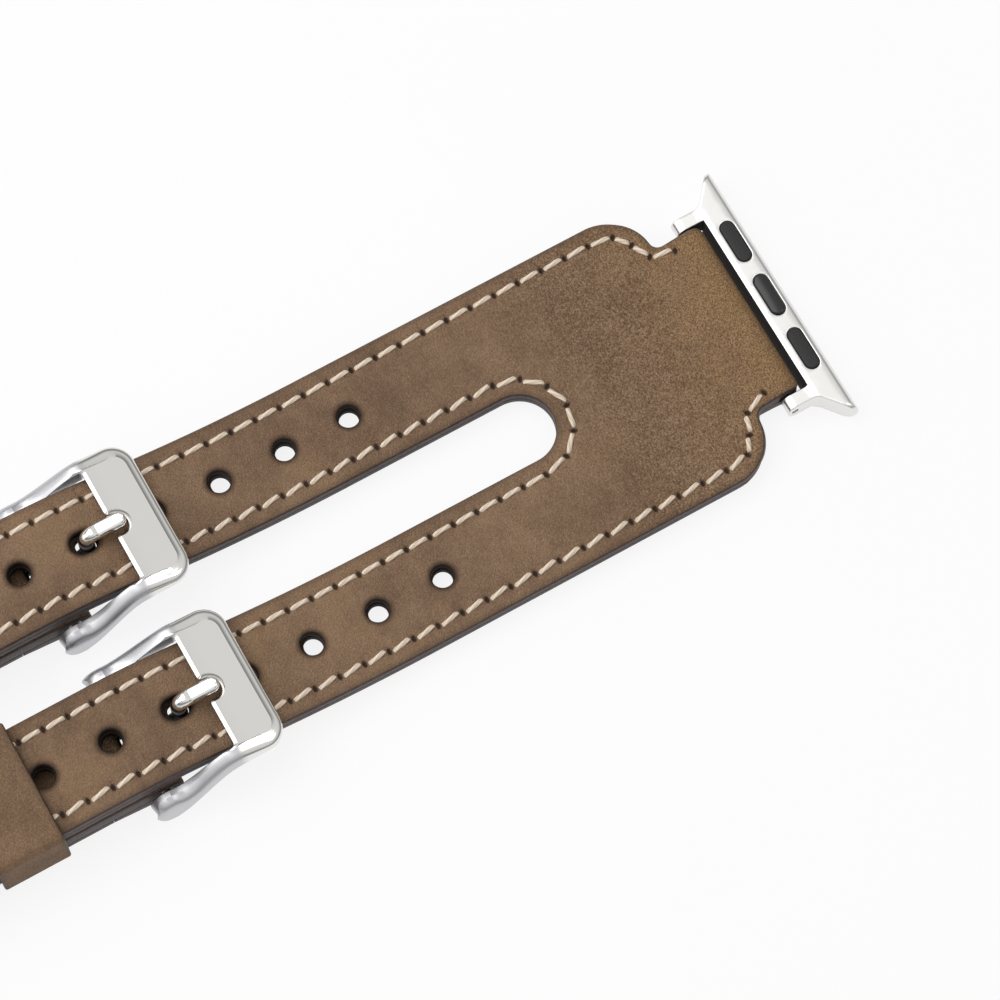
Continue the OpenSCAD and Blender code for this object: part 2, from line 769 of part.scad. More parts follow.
// Keeper: a leather loop round a strap and the tail that lies on it.
module keeper(l, room, low) {
    half = strap_w / 2 + room;
    top = end_top + stack_gap + lining_t + leather_t + thread_h + room - bar_z;
    bottom = low + keeper_t - bar_z;
    color(tan_leather) rotate([90, 0, -90]) linear_extrude(l) difference() {
        rounded_box(-half - keeper_t, bottom - keeper_t, half + keeper_t, top + keeper_t, 1.1);
        rounded_box(-half, bottom, half, top, 0.4);
    }
}

fixed_room = 0.05;
fixed_low = end_lift - thread_h - keeper_t - 0.02;

module fixed_keeper() {
    translate([-fixed_keeper_x, 0, 0]) keeper(fixed_keeper_l, fixed_room, fixed_low);
}

module loose_keeper() {
    translate([-fixed_keeper_x - fixed_keeper_l - keeper_space, 0, 0])
        keeper(loose_keeper_l, keeper_room, 0);
}

tail_side() tail_half_leather();
tail_side() tail_half_lining();
tail_side() stitching(outer_runs_tail, tail_bend, 1, false);  // tail_half_stitching
tail_side() stitching(outer_runs_tail, tail_bend, -1, false);  // tail_half_lining_stitching
tail_side() lug_adapter();  // tail_lug_adapter
tail_side() lug_pad(right);  // tail_lug_pad_left
tail_side() lug_pad(left);  // tail_lug_pad_right
tail_side() latch_button();  // tail_latch_button
tail_side() latch_spring();  // tail_latch_spring
tail_side() lug_bar() bar_tube(lug_bar_d, lug_bore, lug_half);  // tail_lug_bar_tube
tail_side() lug_bar() bar_tip(right, lug_bore, lug_half, lug_reach);  // tail_lug_bar_tip_left
tail_side() lug_bar() bar_tip(left, lug_bore, lug_half, lug_reach);  // tail_lug_bar_tip_right
tail_side() lug_bar() bar_spring(lug_bore, lug_half);  // tail_lug_bar_spring
end_side() buckle_half_leather();
end_side() buckle_half_lining();
end_side() stitching(outer_runs_end, end_bend, 1, true);  // buckle_half_stitching
end_side() stitching(outer_runs_end, end_bend, -1, false);  // buckle_half_lining_stitching
end_side() lug_adapter();  // end_lug_adapter
end_side() lug_pad(left);  // end_lug_pad_left
end_side() lug_pad(right);  // end_lug_pad_right
end_side() latch_button();  // end_latch_button
end_side() latch_spring();  // end_latch_spring
end_side() lug_bar() bar_tube(lug_bar_d, lug_bore, lug_half);  // end_lug_bar_tube
end_side() lug_bar() bar_tip(left, lug_bore, lug_half, lug_reach);  // end_lug_bar_tip_left
end_side() lug_bar() bar_tip(right, lug_bore, lug_half, lug_reach);  // end_lug_bar_tip_right
end_side() lug_bar() bar_spring(lug_bore, lug_half);  // end_lug_bar_spring
buckle_side(left) buckle_frame();  // left_buckle_frame
buckle_side(left) tongue();  // left_tongue
buckle_side(left) bar_tube(buckle_bar_d, buckle_bore, bar_half);  // left_bar_tube
buckle_side(left) bar_tip(left, buckle_bore, bar_half, bar_reach);  // left_bar_tip_outer
buckle_side(left) bar_tip(right, buckle_bore, bar_half, bar_reach);  // left_bar_tip_inner
buckle_side(left) bar_spring(buckle_bore, bar_half);  // left_bar_spring
buckle_side(left) fixed_keeper();  // left_fixed_keeper
buckle_side(left) loose_keeper();  // left_loose_keeper
buckle_side(right) buckle_frame();  // right_buckle_frame
buckle_side(right) tongue();  // right_tongue
buckle_side(right) bar_tube(buckle_bar_d, buckle_bore, bar_half);  // right_bar_tube
buckle_side(right) bar_tip(right, buckle_bore, bar_half, bar_reach);  // right_bar_tip_outer
buckle_side(right) bar_tip(left, buckle_bore, bar_half, bar_reach);  // right_bar_tip_inner
buckle_side(right) bar_spring(buckle_bore, bar_half);  // right_bar_spring
buckle_side(right) fixed_keeper();  // right_fixed_keeper
buckle_side(right) loose_keeper();  // right_loose_keeper
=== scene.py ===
"""Looks of a buckled twin strap leather watch band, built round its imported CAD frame.

Sizes are in millimetres until a mesh is written. The part's frame has x along the band, y across
it and z up from the resting surface. Each half of the band also has a frame of its own, with
x = 0 on its lug bar, +x along the leather and the same z.
"""

from __future__ import annotations

import json
import logging
from dataclasses import dataclass, field
from enum import Enum
from typing import Callable, Sequence

import bpy
import numpy as np
from mathutils import Matrix, Vector
from mathutils.geometry import delaunay_2d_cdt
from mathutils.kdtree import KDTree


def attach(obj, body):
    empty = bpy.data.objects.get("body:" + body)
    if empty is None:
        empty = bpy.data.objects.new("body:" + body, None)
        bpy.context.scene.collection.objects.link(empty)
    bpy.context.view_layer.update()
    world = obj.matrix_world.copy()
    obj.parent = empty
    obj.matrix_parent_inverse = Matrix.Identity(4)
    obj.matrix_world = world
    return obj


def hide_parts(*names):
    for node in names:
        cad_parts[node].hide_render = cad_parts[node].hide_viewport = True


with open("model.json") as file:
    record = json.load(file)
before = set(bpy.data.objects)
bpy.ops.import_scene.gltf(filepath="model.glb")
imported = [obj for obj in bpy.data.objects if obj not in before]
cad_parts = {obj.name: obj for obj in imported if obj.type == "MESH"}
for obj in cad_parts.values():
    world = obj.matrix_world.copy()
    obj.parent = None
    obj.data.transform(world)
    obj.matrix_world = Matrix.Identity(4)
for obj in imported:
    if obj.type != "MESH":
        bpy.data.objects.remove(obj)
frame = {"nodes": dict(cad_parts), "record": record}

log = logging.getLogger("watch_band")

Rows = np.ndarray
Placer = Callable[[Rows, np.ndarray, np.ndarray], Rows]
BODY_OF = {node: body for body, nodes in frame["record"]["behaviour"]["bodies"].items()
           for node in nodes}

MM = 0.001

# The band: from lug bar to lug bar, and how its two layers lie on the surface
SPAN = 165.2
PLATE_LIFT = 0.3
LAYER_T = 1.2
SEAM_Z = PLATE_LIFT + LAYER_T

# The plate's two straps and the slot between them
STRAP_W = 14.2
SLOT_W = 8.7
STRAP_Y = (SLOT_W + STRAP_W) / 2
HALF_W = STRAP_W + SLOT_W / 2
SLOT_CX = 29.75

# The neck folded round the lug bar, NECK on either side of the middle, and its shoulders
NECK = 11.85
SHOULDER_X = 4.5
SHOULDER_R = 5.9
NOTCH_R = 1.2
CORNER_X = SHOULDER_X + SHOULDER_R
CORNER_Y = HALF_W - SHOULDER_R
TURN_BACK = 9.2
BACK_CORNER = (TURN_BACK, HALF_W - 0.12)
TOE_X = 6.7
LUG_R = 2.05
LUG_GRIP = 0.9
LUG_FILL = 1.5

# The tail, and the thickened ends that are folded round the buckle bars. At its grip a
# fold holds the bar, and at its fill it closes the gap behind the bar.
TAIL_LEN = 122.0
BAR_R = 2.2
BAR_GRIP = 77.9
BAR_FILL = 77.2
END_LEN = 78.5
FOLD_X = 71.5
FOLD_Z = 1.25
THICK_START = 47.0
THICK_FULL = 51.0
THICK_LOW = 3.65
THICK_RISE = 1.0
THICK_TOP = THICK_LOW + THICK_RISE
CUT_X = 76.2
CUT_HALF_W = 1.6
CUT_R = 0.6

# The adjusting holes, and which of them the tongue is in, counted from 0
HOLE_FIRST = 46.6
HOLE_PITCH = 8.65
HOLE_COUNT = 8
HOLE_USED = 4

# The seams: from an edge to its row, and from stitch to stitch
INSET = 2.1
PITCH = 3.2


class Side(Enum):
    """Which of the two paired straps a piece belongs to."""

    LEFT = 1
    RIGHT = -1

    @property
    def label(self) -> str:
        """Start of the names of the strap's CAD nodes."""
        return self.name.lower()


class Half(Enum):
    """Half of the band, with the word that its lug nodes start with."""

    TAIL = "tail"
    END = "end"

    def to_world(self, points: Rows) -> Rows:
        """Turns points of the half's own frame into points of the part's frame.

        Args:
            points: rows of x, y and z.

        Returns:
            The same rows in the part's frame.
        """
        if self is Half.TAIL:
            return points * (-1, -1, 1) + (SPAN / 2, 0, 0)
        return points - (SPAN / 2, 0, 0)


def at_buckle(side: Side, points: Rows) -> Rows:
    """Places points that are given from the middle of a strap's buckle bar.

    Args:
        side: the strap.
        points: rows of x, y and z.

    Returns:
        The same rows in the part's frame.
    """
    return Half.END.to_world(points + (END_LEN, side.value * STRAP_Y, BAR_R))


# Shaders


class Val:
    """A shader number that arithmetic can be written with."""

    def __init__(self, shader: "Shader", socket: bpy.types.NodeSocket) -> None:
        """Wraps one output socket."""
        self.shader = shader
        self.socket = socket

    def _math(self, kind: str, first: "Val | float", second: "Val | float") -> "Val":
        """Adds one Math node."""
        return self.shader.node("Math", (first, second), operation=kind)

    def __add__(self, other: "Val | float") -> "Val":
        """Sum."""
        return self._math("ADD", self, other)

    def __sub__(self, other: "Val | float") -> "Val":
        """Difference."""
        return self._math("SUBTRACT", self, other)

    def __mul__(self, other: "Val | float") -> "Val":
        """Product."""
        return self._math("MULTIPLY", self, other)

    def __rsub__(self, other: float) -> "Val":
        """Number minus value."""
        return self._math("SUBTRACT", other, self)

    __radd__ = __add__
    __rmul__ = __mul__

    def larger(self, other: "Val | float") -> "Val":
        """Larger of the two."""
        return self._math("MAXIMUM", self, other)

    def ramp(self, low: float, high: float) -> "Val":
        """Steps smoothly from 0 to 1, by 3 t^2 - 2 t^3.

        Args:
            low: value under which it is 0.
            high: value over which it is 1.

        Returns:
            The step.
        """
        return self.shader.node(
            "MapRange", {"Value": self, "From Min": low, "From Max": high},
            interpolation_type="SMOOTHSTEP")


class Shader:
    """Builds one node material."""

    def __init__(self, name: str) -> None:
        """Starts an empty material.

        Args:
            name: the material's name.
        """
        self.material = bpy.data.materials.new(name)
        self.material.use_nodes = True
        self.tree = self.material.node_tree
        self.tree.nodes.clear()
        self.out = self.tree.nodes.new("ShaderNodeOutputMaterial")

    def feed(self, socket: bpy.types.NodeSocket, value: object) -> None:
        """Links a value to a socket, or sets the socket's own number or colour.

        Args:
            socket: the input.
            value: a shader value, a number, or a colour or vector as a tuple.
        """
        if isinstance(value, Val):
            self.tree.links.new(value.socket, socket)
        elif isinstance(value, tuple) and socket.type == "RGBA":
            socket.default_value = (*value[:3], 1.0)
        else:
            socket.default_value = value

    def node(self, kind: str, inputs: object = (), output: int = 0, **settings: object) -> Val:
        """Adds a shader node.

        Args:
            kind: the node's type without the "ShaderNode" prefix.
            inputs: values by socket name or number, or in socket order.
            output: index of the output that is wanted.
            **settings: properties of the node, set before its sockets.

        Returns:
            The chosen output.
        """
        made = self.tree.nodes.new("ShaderNode" + kind)
        for key, value in settings.items():
            setattr(made, key, value)
        pairs = inputs.items() if isinstance(inputs, dict) else enumerate(inputs)
        for key, value in pairs:
            self.feed(made.inputs[key], value)
        return Val(self, made.outputs[output])

    def place(self, scale: float | tuple) -> Val:
        """Multiplies object coordinates in millimetres by a scale.

        Args:
            scale: one for all axes, or one for each.

        Returns:
            The place as a vector.
        """
        by = scale if isinstance(scale, tuple) else (scale,) * 3
        return self.node(
            "VectorMath", {0: self.node("TexCoord", output=3), 1: tuple(s / MM for s in by)},
            operation="MULTIPLY")

    def attribute(self, name: str) -> Val:
        """Returns a number that is stored on the mesh's vertices, or 0 where it has none."""
        return self.node("Attribute", output=2, attribute_name=name)

    def noise(self, scale: float | tuple, detail: float, rough: float = 0.55) -> Val:
        """Returns fractal noise whose largest features are about 1 / scale millimetres wide."""
        return self.node("TexNoise", {
            "Vector": self.place(scale), "Scale": 1.0, "Detail": detail, "Roughness": rough})

    def cells(self, scale: float, feature: str = "DISTANCE_TO_EDGE") -> Val:
        """Returns a cell pattern whose cells are about 1 / scale millimetres wide."""
        return self.node("TexVoronoi", {"Vector": self.place(scale), "Scale": 1.0},
                         feature=feature)

    def mix(self, factor: Val | float, low: Val | tuple, high: Val | tuple) -> Val:
        """Blends two colours.

        Args:
            factor: share of the second colour.
            low: the first colour.
            high: the second colour.

        Returns:
            The blend.
        """
        made = self.tree.nodes.new("ShaderNodeMix")
        made.data_type = "RGBA"
        for index, value in ((0, factor), (6, low), (7, high)):
            self.feed(made.inputs[index], value)
        return Val(self, made.outputs[2])

    def bump(self, height: Val, depth: float, strength: float) -> Val:
        """Returns a normal bent by a height whose whole range is depth millimetres."""
        return self.node("Bump", {"Height": height, "Distance": depth * MM,
                                  "Strength": strength})

    def finish(self, **inputs: object) -> bpy.types.Material:
        """Ends the material with a Principled surface.

        Args:
            **inputs: the surface's values, with underscores for spaces in their names.

        Returns:
            The finished material.
        """
        named = {key.replace("_", " "): value for key, value in inputs.items()}
        self.tree.links.new(self.node("BsdfPrincipled", named).socket, self.out.inputs[0])
        return self.material


def srgb(red: float, green: float, blue: float) -> tuple[float, float, float]:
    """Turns an sRGB colour into a linear one, by the standard's line and power 2.4.

    Args:
        red: from 0 to 255.
        green: from 0 to 255.
        blue: from 0 to 255.

    Returns:
        The linear colour, from 0 to 1.
    """
    value = np.array((red, green, blue)) / 255
    linear = np.where(value <= 0.04045, value / 12.92, ((value + 0.055) / 1.055) ** 2.4)
    return tuple(float(v) for v in linear)


@dataclass(frozen=True)
class Leather:
    """Distressed leather with a painted edge, mottled, and tan where it is stretched.

    The mesh says where with numbers: wall is 1 on a cut side, edge the distance to it, bore 1 at
    a hole cut through the leather, awl 1 in a stitch's hole, tan 1 on stretched skin, and depth
    the distance under the grain side. Both kinds of hole get painted shade.
    """

    name: str
    dark: tuple = srgb(113, 88, 67)
    light: tuple = srgb(144, 116, 90)
    tan: tuple = srgb(164, 127, 82)
    hollow: tuple = srgb(66, 44, 26)
    crest: tuple = srgb(182, 156, 130)
    pore: tuple = srgb(66, 49, 37)
    scratch: tuple = srgb(184, 158, 126)
    rim: tuple = srgb(78, 59, 46)
    # painted shade: the two colours below are laid round the bores and in the awl's holes
    hole_ring_shade: tuple = srgb(46, 32, 24)
    hole_shade: tuple = srgb(30, 21, 17)
    paint: tuple = srgb(54, 41, 40)
    worn_paint: tuple = srgb(86, 68, 62)
    glue: tuple = srgb(34, 26, 26)
    grain: float = 1.0

    def _skin(self, s: Shader, cloud: Val, bore: Val) -> Val:
        """Colours the grain side.

        Clouds and patches mix dark with light leather. Over it come tan, fine hollows, pores and
        crests that are stronger on stretched skin, scratches in drifts, a dark rim along the
        edge, and painted shade round the bores and in the awl's holes.

        Args:
            s: the material's shader.
            cloud: the widest mottle.
            bore: 1 at a hole cut through the leather.

        Returns:
            The colour.
        """
        tan = s.attribute("tan")
        stretched = tan.ramp(0.0, 0.12)
        patch = s.noise((0.30, 0.20, 0.3), 6, 0.7).ramp(0.38, 0.64)
        golden = s.noise(0.11, 4, 0.6).ramp(0.5, 0.75) * 0.2 + tan * 0.8
        speck = s.noise((6.4, 4.5, 5.4), 3, 0.65)
        hollow = (1 - speck.ramp(0.36, 0.54)) * (stretched * 0.42 + 0.26)
        pore = (1 - s.cells(2.9).ramp(0.0, 0.2)) * (tan * 0.3 + 0.08)
        crest = speck.ramp(0.5, 0.68) * (stretched * 0.34 + 0.16)
        drift = s.noise(0.2, 2).ramp(0.45, 0.62)
        scratch = s.noise((0.5, 9.0, 3.0), 3, 0.5).ramp(0.64, 0.74) * drift * 0.2
        rim = (1 - s.attribute("edge").ramp(0.15, 1.0)) * 0.4
        # painted shade in the awl's holes
        hole_shade = s.attribute("awl").ramp(0.15, 0.7) * 0.92
        skin = s.mix(cloud * 0.6 + patch * 0.4, self.dark, self.light)
        # the last two blends are painted shade round the bores and in the awl's holes
        for share, colour in (
                (golden, self.tan), (hollow, self.hollow), (pore, self.pore),
                (crest, self.crest), (scratch, self.scratch), (rim, self.rim),
                (bore.ramp(0.1, 1.0) * 0.7, self.hole_ring_shade), (hole_shade, self.hole_shade)):
            skin = s.mix(share, skin, colour)
        return skin

    def _coat(self, s: Shader, bore: Val) -> Val:
        """Colours the cut side: worn paint, a dark line where the layers are glued, and painted
        shade down the bores.

        Args:
            s: the material's shader.
            bore: 1 at a hole cut through the leather.

        Returns:
            The colour.
        """
        off = s.attribute("depth") - LAYER_T
        glued = 1 - (off * off * 160).ramp(0.1, 1.0)
        coat = s.mix(s.noise(1.3, 3).ramp(0.35, 0.7) * 0.5, self.paint, self.worn_paint)
        coat = s.mix(glued * 0.5, coat, self.glue)
        # painted shade down the bores
        return s.mix(bore.ramp(0.3, 0.9), coat, self.hole_shade)

    @staticmethod
    def _height(s: Shader, wall: Val) -> Val:
        """Gives the bump: cells of two sizes and swells on the skin, fibres on the cut side.

        Args:
            s: the material's shader.
            wall: 1 on a cut side.

        Returns:
            The height.
        """
        grain = (s.cells(2.4).ramp(0.0, 0.3) * 0.5 + s.cells(5.3).ramp(0.0, 0.35) * 0.25
                 + s.noise(1.1, 5, 0.7) * 0.8)
        fibre = s.noise((1.5, 1.5, 7.0), 4, 0.6) * 0.8
        return grain * (1 - wall) + fibre * wall

    def build(self) -> bpy.types.Material:
        """Makes the material from object coordinates and the mesh's numbers.

        Returns:
            The material.
        """
        s = Shader(self.name)
        wall, bore = s.attribute("wall"), s.attribute("bore")
        cloud = s.noise(0.06, 5, 0.62).ramp(0.36, 0.66)
        fine = s.noise(2.6, 4, 0.65)
        return s.finish(
            Base_Color=s.mix(wall, self._skin(s, cloud, bore), self._coat(s, bore)),
            Roughness=0.62 + fine * 0.14 - cloud * 0.05 - wall * 0.2 + bore * 0.3,
            Specular_IOR_Level=0.3,
            Normal=s.bump(self._height(s, wall), 0.12 * self.grain, 0.8))


@dataclass(frozen=True)
class Thread:
    """Waxed cream thread, with painted shade in the hollows between its strands."""

    name: str = "waxed_thread"
    hollow: tuple = srgb(204, 180, 156)
    strand: tuple = srgb(250, 238, 221)
    grime: tuple = srgb(196, 170, 142)

    def build(self) -> bpy.types.Material:
        """Makes the material, from the mesh's lobe, 1 on a strand and 0 between two, where the
        shade is painted.

        Returns:
            The material.
        """
        s = Shader(self.name)
        # painted shade between the strands; on the strands the thread keeps its own cream
        colour = s.mix(s.attribute("lobe"), self.hollow, self.strand)
        colour = s.mix(s.noise(1.4, 3).ramp(0.5, 0.8) * 0.3, colour, self.grime)
        return s.finish(Base_Color=colour, Roughness=0.62, Specular_IOR_Level=0.3,
                        Normal=s.bump(s.noise(9.0, 3, 0.6), 0.05, 0.6))


@dataclass(frozen=True)
class Metal:
    """Bare metal, from mirror polish to a fine blasted satin.

    Where the mesh's number shade is 1 it is matt and very dark, which is painted shade. On the
    buckle's arms its polish is duller and its colour greyer, the grey being painted shade.
    """

    name: str
    colour: tuple = srgb(232, 231, 228)
    rough: float = 0.11
    blast: float = 0.0
    wear: float = 0.02
    # painted shade: the grey laid on the buckle's arms
    painted_arm_shade: tuple = srgb(200, 200, 203)
    # painted shade: the very dark colour laid where shade is 1, in holes and gaps
    black: tuple = srgb(30, 24, 22)

    def build(self) -> bpy.types.Material:
        """Makes the material, with faint haze and fine wiping marks in its polish.

        Returns:
            The material.
        """
        s = Shader(self.name)
        shade, soft = s.attribute("shade"), s.attribute("soft")
        haze = s.noise(0.6, 4, 0.6)
        marks = s.noise((12.0, 1.2, 3.0), 3, 0.6)
        worn = haze * (self.wear * 2) + marks.ramp(0.6, 0.8) * self.wear
        # painted shade greys the buckle's arms, where the polish is also duller
        arm_shaded_metal = s.mix(soft, self.colour, self.painted_arm_shade)
        # where shade is 1 the metal turns matt and very dark: painted shade
        return s.finish(Base_Color=s.mix(shade, arm_shaded_metal, self.black), Metallic=1 - shade,
                        Roughness=worn + shade * 0.6 + soft * 0.25 + self.rough,
                        Normal=s.bump(s.noise(9.0, 3, 0.6) * self.blast, 0.06, 0.35))


@dataclass(frozen=True)
class Moulded:
    """Moulded black rubber or plastic with a fine pebble."""

    name: str
    rough: float = 0.55
    pebble: float = 1.0
    dark: tuple = srgb(20, 20, 22)
    light: tuple = srgb(36, 36, 38)

    def build(self) -> bpy.types.Material:
        """Makes the material from object coordinates alone.

        Returns:
            The material.
        """
        s = Shader(self.name)
        haze = s.noise(2.0, 3)
        return s.finish(
            Base_Color=s.mix(haze * 0.5, self.dark, self.light),
            Roughness=haze * 0.08 + self.rough, Specular_IOR_Level=0.5,
            Normal=s.bump(s.cells(5.0, "F1"), 0.06 * self.pebble, 0.6 * self.pebble))


@dataclass(frozen=True)
class Finishes:
    """The object's materials by the record's slot names."""

    made: dict

    @classmethod
    def build(cls) -> "Finishes":
        """Makes every material once.

        Returns:
            The materials.
        """
        kinds = [
            Leather("leather_top"),
            Leather("leather_lining", srgb(74, 58, 48), srgb(92, 73, 60), srgb(104, 82, 62)),
            Leather("leather_keeper", srgb(112, 87, 65), srgb(142, 113, 85), grain=0.8),
            Thread(),
            Metal("satin_steel", srgb(232, 231, 229), rough=0.27, blast=0.15),
            Metal("polished_steel"),
            Metal("spring_steel", srgb(190, 190, 190), rough=0.22, blast=0.1, wear=0.05),
            Moulded("pad_rubber"),
            Moulded("button_plastic", rough=0.22, pebble=0.15),
        ]
        return cls({kind.name: kind.build() for kind in kinds})

    def dress(self, mesh: "Mesh", name: str, slot: str, *nodes: str,
              sharp: float = 180.0) -> bpy.types.Object:
        """Writes a piece that stands for CAD nodes and rides on the first one's body.

        Args:
            mesh: the piece's mesh in the part's frame.
            name: the piece's name.
            slot: the material slot of its finish.
            *nodes: the CAD nodes that it replaces.
            sharp: angle in degrees over which an edge stays hard.

        Returns:
            The new object.
        """
        obj = mesh.write(name, self.made[slot], sharp)
        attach(obj, BODY_OF[nodes[0]])
        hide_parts(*nodes)
        log.info("%s: %d faces for %s", name, len(obj.data.polygons), ", ".join(nodes))
        return obj


# Mesh tools


def put(name: str, data: bpy.types.ID) -> bpy.types.Object:
    """Puts a mesh, lamp or camera into the scene.

    Args:
        name: the object's name.
        data: what it shows.

    Returns:
        The new object, at the origin.
    """
    obj = bpy.data.objects.new(name, data)
    bpy.context.scene.collection.objects.link(obj)
    return obj


@dataclass
class Mesh:
    """Vertices in millimetres of the part's frame, faces and numbers kept on the vertices."""

    points: Rows
    faces: list
    values: dict = field(default_factory=dict)

    def outward(self) -> "Mesh":
        """Turns the faces outwards, by the sign of the volume.

        The volume is the sum of a . (b x c) / 6 over the faces cut into fans.

        Returns:
            The mesh with its faces turned.
        """
        volume = 0.0
        for size in {len(face) for face in self.faces}:
            corners = self.points[np.array([f for f in self.faces if len(f) == size])]
            for k in range(1, size - 1):
                volume += np.sum(corners[:, 0] * np.cross(corners[:, k], corners[:, k + 1]))
        faces = self.faces if volume > 0 else [f[::-1] for f in self.faces]
        return Mesh(self.points, faces, self.values)

    def write(self, name: str, material: bpy.types.Material, sharp: float) -> bpy.types.Object:
        """Makes a Blender object at the origin.

        Args:
            name: the object's name.
            material: its only material.
            sharp: angle in degrees over which an edge stays hard.

        Returns:
            The new object.
        """
        data = bpy.data.meshes.new(name)
        data.from_pydata((self.points * MM).tolist(), [], self.outward().faces)
        for key, numbers in self.values.items():
            layer = data.attributes.new(key, "FLOAT", "POINT")
            layer.data.foreach_set("value", np.asarray(numbers, np.float32))
        data.polygons.foreach_set("use_smooth", np.ones(len(data.polygons), bool))
        if sharp < 180:
            data.set_sharp_from_angle(angle=np.radians(sharp))
        data.materials.append(material)
        data.update()
        return put(name, data)


def join(meshes: Sequence[Mesh]) -> Mesh:
    """Joins closed meshes into one.

    Args:
        meshes: the meshes.

    Returns:
        One mesh, with the numbers that the first one has.
    """
    faces, start = [], 0
    for mesh in meshes:
        faces += [tuple(i + start for i in face) for face in mesh.outward().faces]
        start += len(mesh.points)
    values = {key: np.concatenate([m.values[key] for m in meshes]) for key in meshes[0].values}
    return Mesh(np.vstack([m.points for m in meshes]), faces, values)


def grid_faces(rows: int, columns: int, close: bool = False) -> list:
    """Makes the quads of a grid whose rows are rings.

    Args:
        rows: number of rings.
        columns: number of vertices in each ring.
        close: whether the last ring joins the first.

    Returns:
        The quads as lists of vertex numbers.
    """
    i, j = np.meshgrid(np.arange(rows if close else rows - 1), np.arange(columns),
                       indexing="ij")
    right, low, up = (j + 1) % columns, i * columns, (i + 1) % rows * columns
    return np.stack([low + j, low + right, up + right, up + j], -1).reshape(-1, 4).tolist()


def capped_faces(rows: int, columns: int) -> list:
    """Makes the faces of a tube of rings with a flat cap on each end.

    Args:
        rows: number of rings.
        columns: number of vertices in each ring.

    Returns:
        The faces as lists of vertex numbers.
    """
    last = (rows - 1) * columns
    return grid_faces(rows, columns) + [tuple(range(columns))[::-1],
                                        tuple(range(last, last + columns))]


def around(count: int) -> np.ndarray:
    """Returns angles spaced evenly round a circle, from 0."""
    return 2 * np.pi * np.arange(count) / count


def arc(cx: float, cy: float, r: float, a0: float, a1: float, step: float = 0.3) -> Rows:
    """Lays points (cx + r cos a, cy + r sin a) on an arc.

    Args:
        cx: x of the centre.
        cy: y of the centre.
        r: radius.
        a0: first angle in degrees.
        a1: last angle in degrees.
        step: about how far the points are apart.

    Returns:
        The points, with both ends.
    """
    count = max(4, int(np.ceil(abs(np.radians(a1 - a0)) * r / step)) + 1)
    a = np.radians(np.linspace(a0, a1, count))
    return np.column_stack([cx + r * np.cos(a), cy + r * np.sin(a)])


def line(x0: float, y0: float, x1: float, y1: float, step: float = 0.5) -> Rows:
    """Lays points on a straight line.

    Args:
        x0: x of the start.
        y0: y of the start.
        x1: x of the end.
        y1: y of the end.
        step: about how far the points are apart.

    Returns:
        The points, with both ends.
    """
    count = max(2, int(np.ceil(np.hypot(x1 - x0, y1 - y0) / step)) + 1)
    return np.column_stack([np.linspace(x0, x1, count), np.linspace(y0, y1, count)])


def lengths(points: Rows) -> np.ndarray:
    """Returns the distance along a path at each of its points."""
    return np.concatenate([[0], np.cumsum(np.linalg.norm(np.diff(points, axis=0), axis=1))])


def resample(points: Rows, count: int) -> Rows:
    """Spaces points evenly along a path.

    Args:
        points: the path.
        count: how many points are wanted.

    Returns:
        The new points.
    """
    along = lengths(points)
    at = np.linspace(0, along[-1], count)
    return np.column_stack([np.interp(at, along, c) for c in points.T])


def spaced(loop: Rows, count: int) -> Rows:
    """Returns points spaced evenly round a closed outline."""
    return resample(np.vstack([loop, loop[:1]]), count + 1)[:-1]


def ease(t: np.ndarray) -> np.ndarray:
    """Returns t * t * (3 - 2 * t) with t held between 0 and 1."""
    t = np.clip(t, 0, 1)
    return t * t * (3 - 2 * t)


def stadium(cx: float, cy: float, length: float, width: float, turned: bool = False) -> Rows:
    """Draws a round-ended slot: two half circles of its width, joined by straight sides.

    Args:
        cx: x of the middle.
        cy: y of the middle.
        length: the longer size.
        width: the shorter size.
        turned: whether the slot is long in x, and not in y.

    Returns:
        The outline.
    """
    r, run = width / 2, (length - width) / 2
    loop = np.vstack([arc(0, run, r, 0, 180, 0.2), arc(0, -run, r, 180, 360, 0.2)])
    loop = loop[:, ::-1] if turned else loop
    return loop + (cx, cy)


def undoubled(loop: Rows) -> Rows:
    """Returns a closed outline without the points that repeat the one before."""
    return loop[np.linalg.norm(loop - np.roll(loop, 1, 0), axis=1) > 0.01]


def turned_to(loop: Rows, way: int) -> Rows:
    """Turns an outline's points one way round, by the sign of its area, without doubled ones.

    Args:
        loop: the outline.
        way: 1 for counter-clockwise, -1 for clockwise.

    Returns:
        The outline.
    """
    loop = undoubled(loop)
    x, y = loop.T
    area = np.sum(x * np.roll(y, -1) - np.roll(x, -1) * y)
    return loop if area * way > 0 else loop[::-1]


def unit(rows: Rows) -> Rows:
    """Returns rows divided by their lengths."""
    return rows / np.maximum(np.linalg.norm(rows, axis=-1, keepdims=True), 1e-9)


def quarter_left(rows: Rows) -> Rows:
    """Returns directions turned a quarter turn to the left, (x, y) to (-y, x)."""
    return np.column_stack([-rows[:, 1], rows[:, 0]])


def left_of(loop: Rows) -> Rows:
    """Returns the unit normals of a closed outline that point to its left."""
    return unit(quarter_left(np.roll(loop, -1, 0) - np.roll(loop, 1, 0)))


